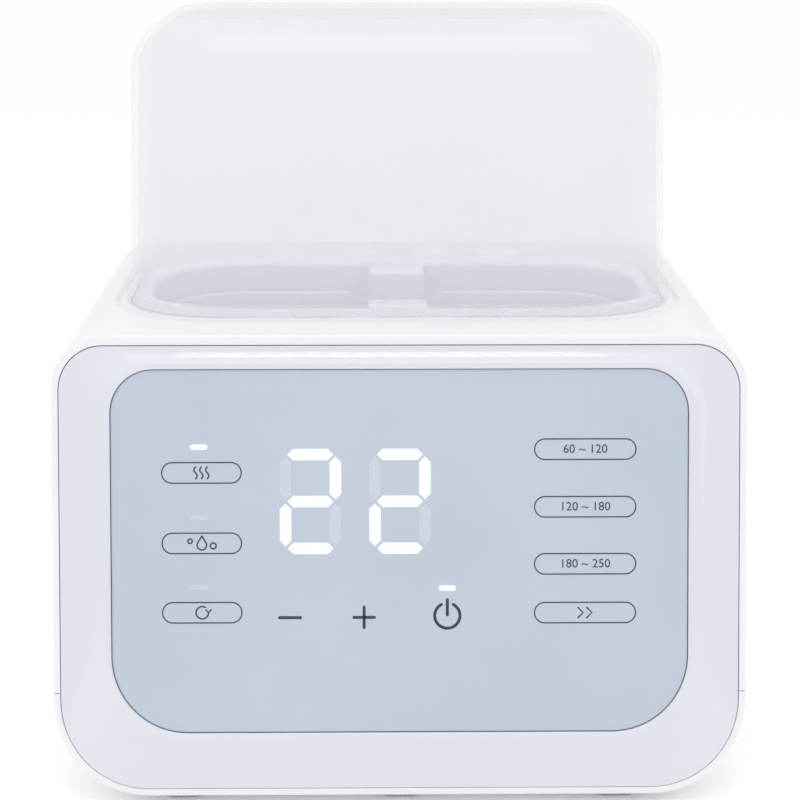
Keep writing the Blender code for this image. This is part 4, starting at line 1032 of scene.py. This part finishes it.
# %% Make the rack
rack_low, rack_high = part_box("bottle_rack")
RACK_CLEARANCE = 1.5 * MM
RACK_WALL = 1.8 * MM
RACK_DROP = 8.8 * MM
POST_WIDTH = 17.8 * MM
POST_DEPTH = 12.5 * MM
POST_FILLET = 5 * MM
POST_FLARE = 1 * MM
POST_ROUND = 0.9 * MM
DIVIDER_HEIGHT = 22 * MM
BAY_HOLE = 19 * MM
BAY_PAST = 4 * MM
WING_DEPTH = 1.5 * MM
RACK_TOP = SEAT_Z - RACK_DROP


def rack_inset(z):
    return RACK_CLEARANCE + WELL_DRAFT * (SEAT_Z - z) / (SEAT_Z - WELL_FLOOR)


def rack_post(end):
    """A post with a rounded head and rounded upright edges, as a skin."""
    rings = []
    levels = [(rack_low.z + 1 * MM, 0.0)] + [(rack_high.z - down, inset) for inset, down in eased(POST_ROUND)]
    for z, inset in levels:
        middle = WELL_Y + end * (WELL_WIDTH / 2 - rack_inset(z) - GAP - POST_DEPTH / 2)
        outline = rounded_rect(POST_WIDTH - 2 * inset, POST_DEPTH - 2 * inset, POST_ROUND, steps=SMALL_STEPS)
        rings.append([Vector((u, middle + v, z)) for u, v in outline])
    return skin(rings)


def rack_wing(end):
    """The low fillet where the rim runs up to a post."""
    face = WELL_WIDTH / 2 - rack_inset(RACK_TOP) - GAP
    foot = POST_WIDTH / 2 + POST_FLARE
    outline = [(POST_WIDTH / 2 - POST_ROUND, rack_high.z - 2 * POST_ROUND)]
    outline += [(foot + out, RACK_TOP + rise) for out, rise in eased(POST_FILLET, ROUND_STEPS)]
    outline.append((foot + POST_FILLET, RACK_TOP - RACK_WALL))
    outline += [(-u, v) for u, v in reversed(outline)]
    return skin([[Vector((u, WELL_Y + end * y, v)) for u, v in outline]
                 for y in (face - WING_DEPTH, face - GAP)])


def bottle_rack():
    chamfer = WELL_FILLET + GAP
    floor_top = rack_low.z + RACK_WALL
    lip = RACK_WALL / 2
    top_inset = rack_inset(RACK_TOP)
    outside = [well_ring(-top_inset - across, RACK_TOP - down) for down, across in eased(lip)]
    inside = [well_ring(-top_inset - RACK_WALL + across, RACK_TOP - down) for down, across in eased(lip)[1:]]
    for draw, rise in eased(chamfer):
        outside.append(well_ring(-rack_inset(rack_low.z + rise) - draw, rack_low.z + rise))
        inside.append(well_ring(-rack_inset(rack_low.z + rise) - RACK_WALL - draw, floor_top + rise))
    piece = solid("rack_basket", skin(outside + inside[::-1], turn_at=len(outside)))
    for end in (-1, 1):
        change(piece, "UNION", solid("post", rack_post(end)))
        change(piece, "UNION", solid("wing", rack_wing(end)))
    low = rack_low.z + RACK_WALL / 2
    depth = WELL_WIDTH / 2 - rack_inset(low) - RACK_WALL / 2
    divider = box_skin((-RACK_WALL / 2, WELL_Y - depth, low),
                       (RACK_WALL / 2, WELL_Y + depth, low + DIVIDER_HEIGHT))
    bay = [(BAY_HOLE, rack_low.z - BAY_PAST), (BAY_HOLE, floor_top + BAY_PAST)]
    bays = [turned(bay, (side * WELL_LENGTH / 4, WELL_Y, 0), steps=48) for side in (-1, 1)]
    change(piece, "UNION", solid("divider", divider))
    change(piece, "DIFFERENCE", solid("bays", *bays))
    return settle(piece)


show(bottle_rack(), satin_rack, "rack", ["bottle_rack"])

# %% [markdown]
# ## The lid
#
# The lid is a deep thin hood of milky plastic.  Its walls lean in a little,
# so it comes off its mould, and a thicker rim stiffens its foot.  Steam
# leaves through low arches cut in that rim.

# %% Make the lid
LID_WALL = 2 * MM
LID_DRAFT = math.radians(1.9)
LID_ROUND = 15 * MM
RIM_HEIGHT = 3.2 * MM
RIM_PROUD = 1.2 * MM
RIM_EDGE = 0.5 * MM
VENTS = 4
VENT_PITCH = 23.2 * MM
VENT_LENGTH = 11.5 * MM
VENT_HEIGHT = 1.7 * MM


def lid_inset(z):
    return RIM_PROUD + (z - lid_low.z) * math.tan(LID_DRAFT)


def lid_ring(inset, z):
    return plan_ring(LID_LENGTH - 2 * inset, LID_WIDTH - 2 * inset, LID_CORNER - inset, z)


def arch(length, height, steps=8):
    """Half of a long low oval, for a vent's outline."""
    return [(length / 2 * math.cos(math.pi * k / steps), height * math.sin(math.pi * k / steps) ** 0.6)
            for k in range(steps + 1)] + [(-length / 2, -height), (length / 2, -height)]


def steam_lid():
    rim_top = lid_low.z + RIM_HEIGHT
    outside = [lid_ring(inset, lid_low.z + rise) for rise, inset in eased(RIM_EDGE)]
    outside += [lid_ring(inset, rim_top - down) for inset, down in eased(RIM_EDGE)]
    outside.append(lid_ring(lid_inset(rim_top + GAP), rim_top + GAP))
    inside = [lid_ring(RIM_PROUD + LID_WALL, lid_low.z)]
    for rings, wall in ((outside, 0.0), (inside, LID_WALL)):
        for inset, down in eased(LID_ROUND - wall, 2 * ROUND_STEPS):
            z = lid_high.z - wall - down
            rings.append(lid_ring(lid_inset(z) + wall + inset, z))
    piece = solid("milky_hood", skin(outside + inside[::-1], turn_at=len(outside)))
    cuts = []
    for k in range(VENTS):
        x = (k - (VENTS - 1) / 2) * VENT_PITCH
        cuts.append(prism([(x + u, lid_low.z + v) for u, v in arch(VENT_LENGTH, VENT_HEIGHT)],
                          WELL_Y - LID_WIDTH, WELL_Y + LID_WIDTH, lambda u, v, w: Vector((u, w, v))))
    change(piece, "DIFFERENCE", solid("vents", *cuts))
    return settle(piece)


show(steam_lid(), milky, "lid", ["steam_lid"])

# %% [markdown]
# ## Feet, screws and the mains socket
#
# Six rubber pads are pressed into pockets below.  Pan-head screws with a
# cross recess hold the shells together from underneath.  The socket at the
# rear takes a loose two-pin lead, and nothing is plugged into it here.

# %% Place the feet and the screws
FOOT_EDGE = 0.5 * MM
FOOT_CORNER = 1.5 * MM
SCREW_HEAD = 2.8 * MM
SCREW_SHANK = 1.4 * MM
HEAD_TALL = 1.8 * MM
THREAD_PITCH = 1.1 * MM
RECESS_ARM = (1.6 * MM, 0.3 * MM)
RECESS_DEPTH = 1.0 * MM


def foot_blank():
    low, high = foot_boxes[0]
    size = high - low
    levels = [*eased(FOOT_EDGE), (size.z, 0)]
    rings = [[Vector((u, v, z - size.z / 2))
              for u, v in rounded_rect(size.x - 2 * inset, size.y - 2 * inset, FOOT_CORNER, steps=6)]
             for z, inset in levels]
    return settle(solid("foot_blank", skin(rings)))


def screw_blank():
    """A pan-head screw pointing up, about its own middle, with a cross recess below."""
    low, high = screw_boxes[0]
    length = high.z - low.z
    head, shank, tall = SCREW_HEAD, SCREW_SHANK, HEAD_TALL
    profile = [(head * math.sin(a), tall * 0.6 * (1 - math.cos(a)) - length / 2) for a in quarter(6)[1:]]
    profile += [(head, tall - length / 2), (shank, tall - length / 2)]
    for k in range(int((length - tall) / THREAD_PITCH)):
        z = tall - length / 2 + k * THREAD_PITCH
        profile += [(shank, z + 0.2 * THREAD_PITCH), (shank * 0.75, z + 0.6 * THREAD_PITCH),
                    (shank, z + THREAD_PITCH)]
    piece = solid("screw_blank", turned(profile, (0, 0, 0)))
    for a, b in (RECESS_ARM, RECESS_ARM[::-1]):
        arm = box_skin((-a, -b, -length), (a, b, RECESS_DEPTH - length / 2))
        change(piece, "DIFFERENCE", solid("arm", arm))
    return settle(piece)


NO_TURN = Euler((0, 0, 0))
for name, blank, places, material, slot, node in (
        ("rubber_feet", foot_blank(), foot_places, rubber, "grey_rubber", "foot_%d"),
        ("case_screws", screw_blank(), screw_places, zinc, "zinc_steel", "base_screw_%d")):
    piece = grow(name, COPIES, places, {"Piece": blank, "Material": material}, [NO_TURN] * len(places))
    show(piece, material, stands_for=[node % (k + 1) for k in range(len(places))])
    bpy.data.objects.remove(blank)


# %% Make the mains socket
SOCKET_WALL = 2 * MM
SOCKET_CORNER = 4 * MM
SOCKET_EASE = 0.4 * MM
PIN = 1.1 * MM
PIN_TIP = 0.7 * MM
PIN_LENGTH = 9 * MM
PIN_POINT = 0.6 * MM
PIN_SIDE = 4.3 * MM


def mains_socket():
    x = (inlet_low.x + inlet_high.x) / 2
    z = (inlet_low.z + inlet_high.z) / 2
    half = Vector((inlet_high.x - inlet_low.x, 0, inlet_high.z - inlet_low.z)) / 2
    flange, wall, corner, ease = SOCKET_FLANGE, SOCKET_WALL, SOCKET_CORNER, SOCKET_EASE

    def ring(inset, y, radius):
        return [Vector((x + u, y, z + v)) for u, v in
                rounded_rect(2 * (half.x - inset), 2 * (half.z - inset), radius, steps=8)]

    front = inlet_high.y
    rings = [ring(flange + wall, front, corner - wall), ring(ease, front, corner),
             ring(0, front - ease, corner), ring(0, REAR_Y + GAP, corner),
             ring(flange, REAR_Y + GAP, corner), ring(flange, inlet_low.y, corner),
             ring(flange + wall, inlet_low.y + wall, corner - wall)]
    piece = solid("socket_body", skin(rings, turn_at=6))
    pin = [(PIN, 0), (PIN, PIN_LENGTH), (PIN_TIP, PIN_LENGTH + PIN_POINT)]
    pins = [turned(pin, (x + side * PIN_SIDE, inlet_low.y + wall / 2, z), (0, 1, 0)) for side in (-1, 1)]
    return settle(piece), settle(solid("socket_pins", *pins))


socket_body, socket_pins = mains_socket()
show(socket_body, nylon, stands_for=["power_inlet"])
show(socket_pins, zinc)

# %% [markdown]
# ## Floor, light and camera
#
# A plain pale floor that glows a little, a white surround, one broad soft
# light overhead and a strip at each side give even light with few shadows.
# Two rows of narrow lamps hang above them.  The camera stands a little above
# the lid and looks slightly down.

# %% Floor and light
FLOOR_REACH = 20.0
FLOOR_GLOW = 0.10
LAMPS = 17
LAMP_PITCH = 0.024
LAMP_SIZE = (0.014, 0.34)
LAMP_HEIGHT = 1.5
LAMP_ROWS = (-0.78, -0.33)
LAMP_POWER = 0.075
LAMP_SHIFT = 0.3
OVERHEAD_SIZE = (1.6, 1.2)
STRIP_SIZE = (0.10, 0.9)
BODY_MIDDLE = (0, 0, 0.12)
WORLD_LEVEL = 0.65
WORLD_RISE = 0.38
WORLD_REAR = 0.10


def floor():
    mesh = bpy.data.meshes.new("floor")
    corners = [(x * FLOOR_REACH, y * FLOOR_REACH, 0) for x, y in ((-1, -1), (1, -1), (1, 1), (-1, 1))]
    mesh.from_pydata(corners, [], [(0, 1, 2, 3)])
    obj = bpy.data.objects.new("floor", mesh)
    bpy.context.scene.collection.objects.link(obj)
    material = bpy.data.materials.new("matte_paper")
    material.use_nodes = True
    shader = material.node_tree.nodes["Principled BSDF"]
    shader.inputs["Base Color"].default_value = colour("#FCFCFD")
    shader.inputs["Roughness"].default_value = 0.9
    shader.inputs["Emission Color"].default_value = (1, 1, 1, 1)
    shader.inputs["Emission Strength"].default_value = FLOOR_GLOW
    mesh.materials.append(material)


def soft_light(name, place, target, size, power):
    data = bpy.data.lights.new(name, "AREA")
    data.shape = "RECTANGLE"
    data.size, data.size_y = size
    data.energy = power
    obj = bpy.data.objects.new(name, data)
    obj.location = place
    obj.rotation_euler = (Vector(target) - Vector(place)).to_track_quat("-Z", "Y").to_euler()
    bpy.context.scene.collection.objects.link(obj)


floor()
soft_light("overhead", (0, -0.1, 1.3), (0, 0, 0), OVERHEAD_SIZE, 0.6)
soft_light("left_strip", (-0.9, -0.5, 0.5), BODY_MIDDLE, STRIP_SIZE, 0.4)
soft_light("right_strip", (0.8, -0.7, 0.5), BODY_MIDDLE, STRIP_SIZE, 0.2)
for row, y in enumerate(LAMP_ROWS):
    for k in range(LAMPS):
        x = (k - (LAMPS - 1) / 2 + LAMP_SHIFT * row) * LAMP_PITCH
        soft_light("lamp_%d_%d" % (row, k), (x, y, LAMP_HEIGHT), (x, y, 0), LAMP_SIZE, LAMP_POWER)
print("lights:", len(bpy.data.lights))


def studio_world():
    """White all round, brightest overhead and a little weaker towards the front."""
    world = bpy.data.worlds.new("studio")
    world.use_nodes = True
    tree = world.node_tree
    way = add(tree, "ShaderNodeSeparateXYZ", {0: add(tree, "ShaderNodeTexCoord").outputs["Generated"]})
    rise = add(tree, "ShaderNodeMath", {0: way.outputs["Z"], 1: WORLD_RISE, 2: WORLD_LEVEL},
               operation="MULTIPLY_ADD")
    both = add(tree, "ShaderNodeMath", {0: way.outputs["Y"], 1: WORLD_REAR, 2: rise.outputs[0]},
               operation="MULTIPLY_ADD")
    tree.nodes["Background"].inputs["Color"].default_value = (1, 1, 1, 1)
    tree.links.new(both.outputs[0], tree.nodes["Background"].inputs["Strength"])
    bpy.context.scene.world = world


studio_world()
bpy.context.scene.view_settings.view_transform = "Standard"

# %% Camera
CAMERA_PLACE = (-0.0058, -0.6365, 0.2521)
CAMERA_TILT = math.radians(75.83)
CAMERA_PAN = math.radians(-0.6)
camera_data = bpy.data.cameras.new("camera")
camera_data.lens = 96.4
camera_data.sensor_width = 36.0
camera = bpy.data.objects.new("camera", camera_data)
camera.location = CAMERA_PLACE
camera.rotation_euler = (CAMERA_TILT, 0, CAMERA_PAN)
bpy.context.scene.collection.objects.link(camera)
bpy.context.scene.camera = camera
print("camera: %.1f mm lens, %.0f mm up" % (camera_data.lens, camera.location.z / MM))
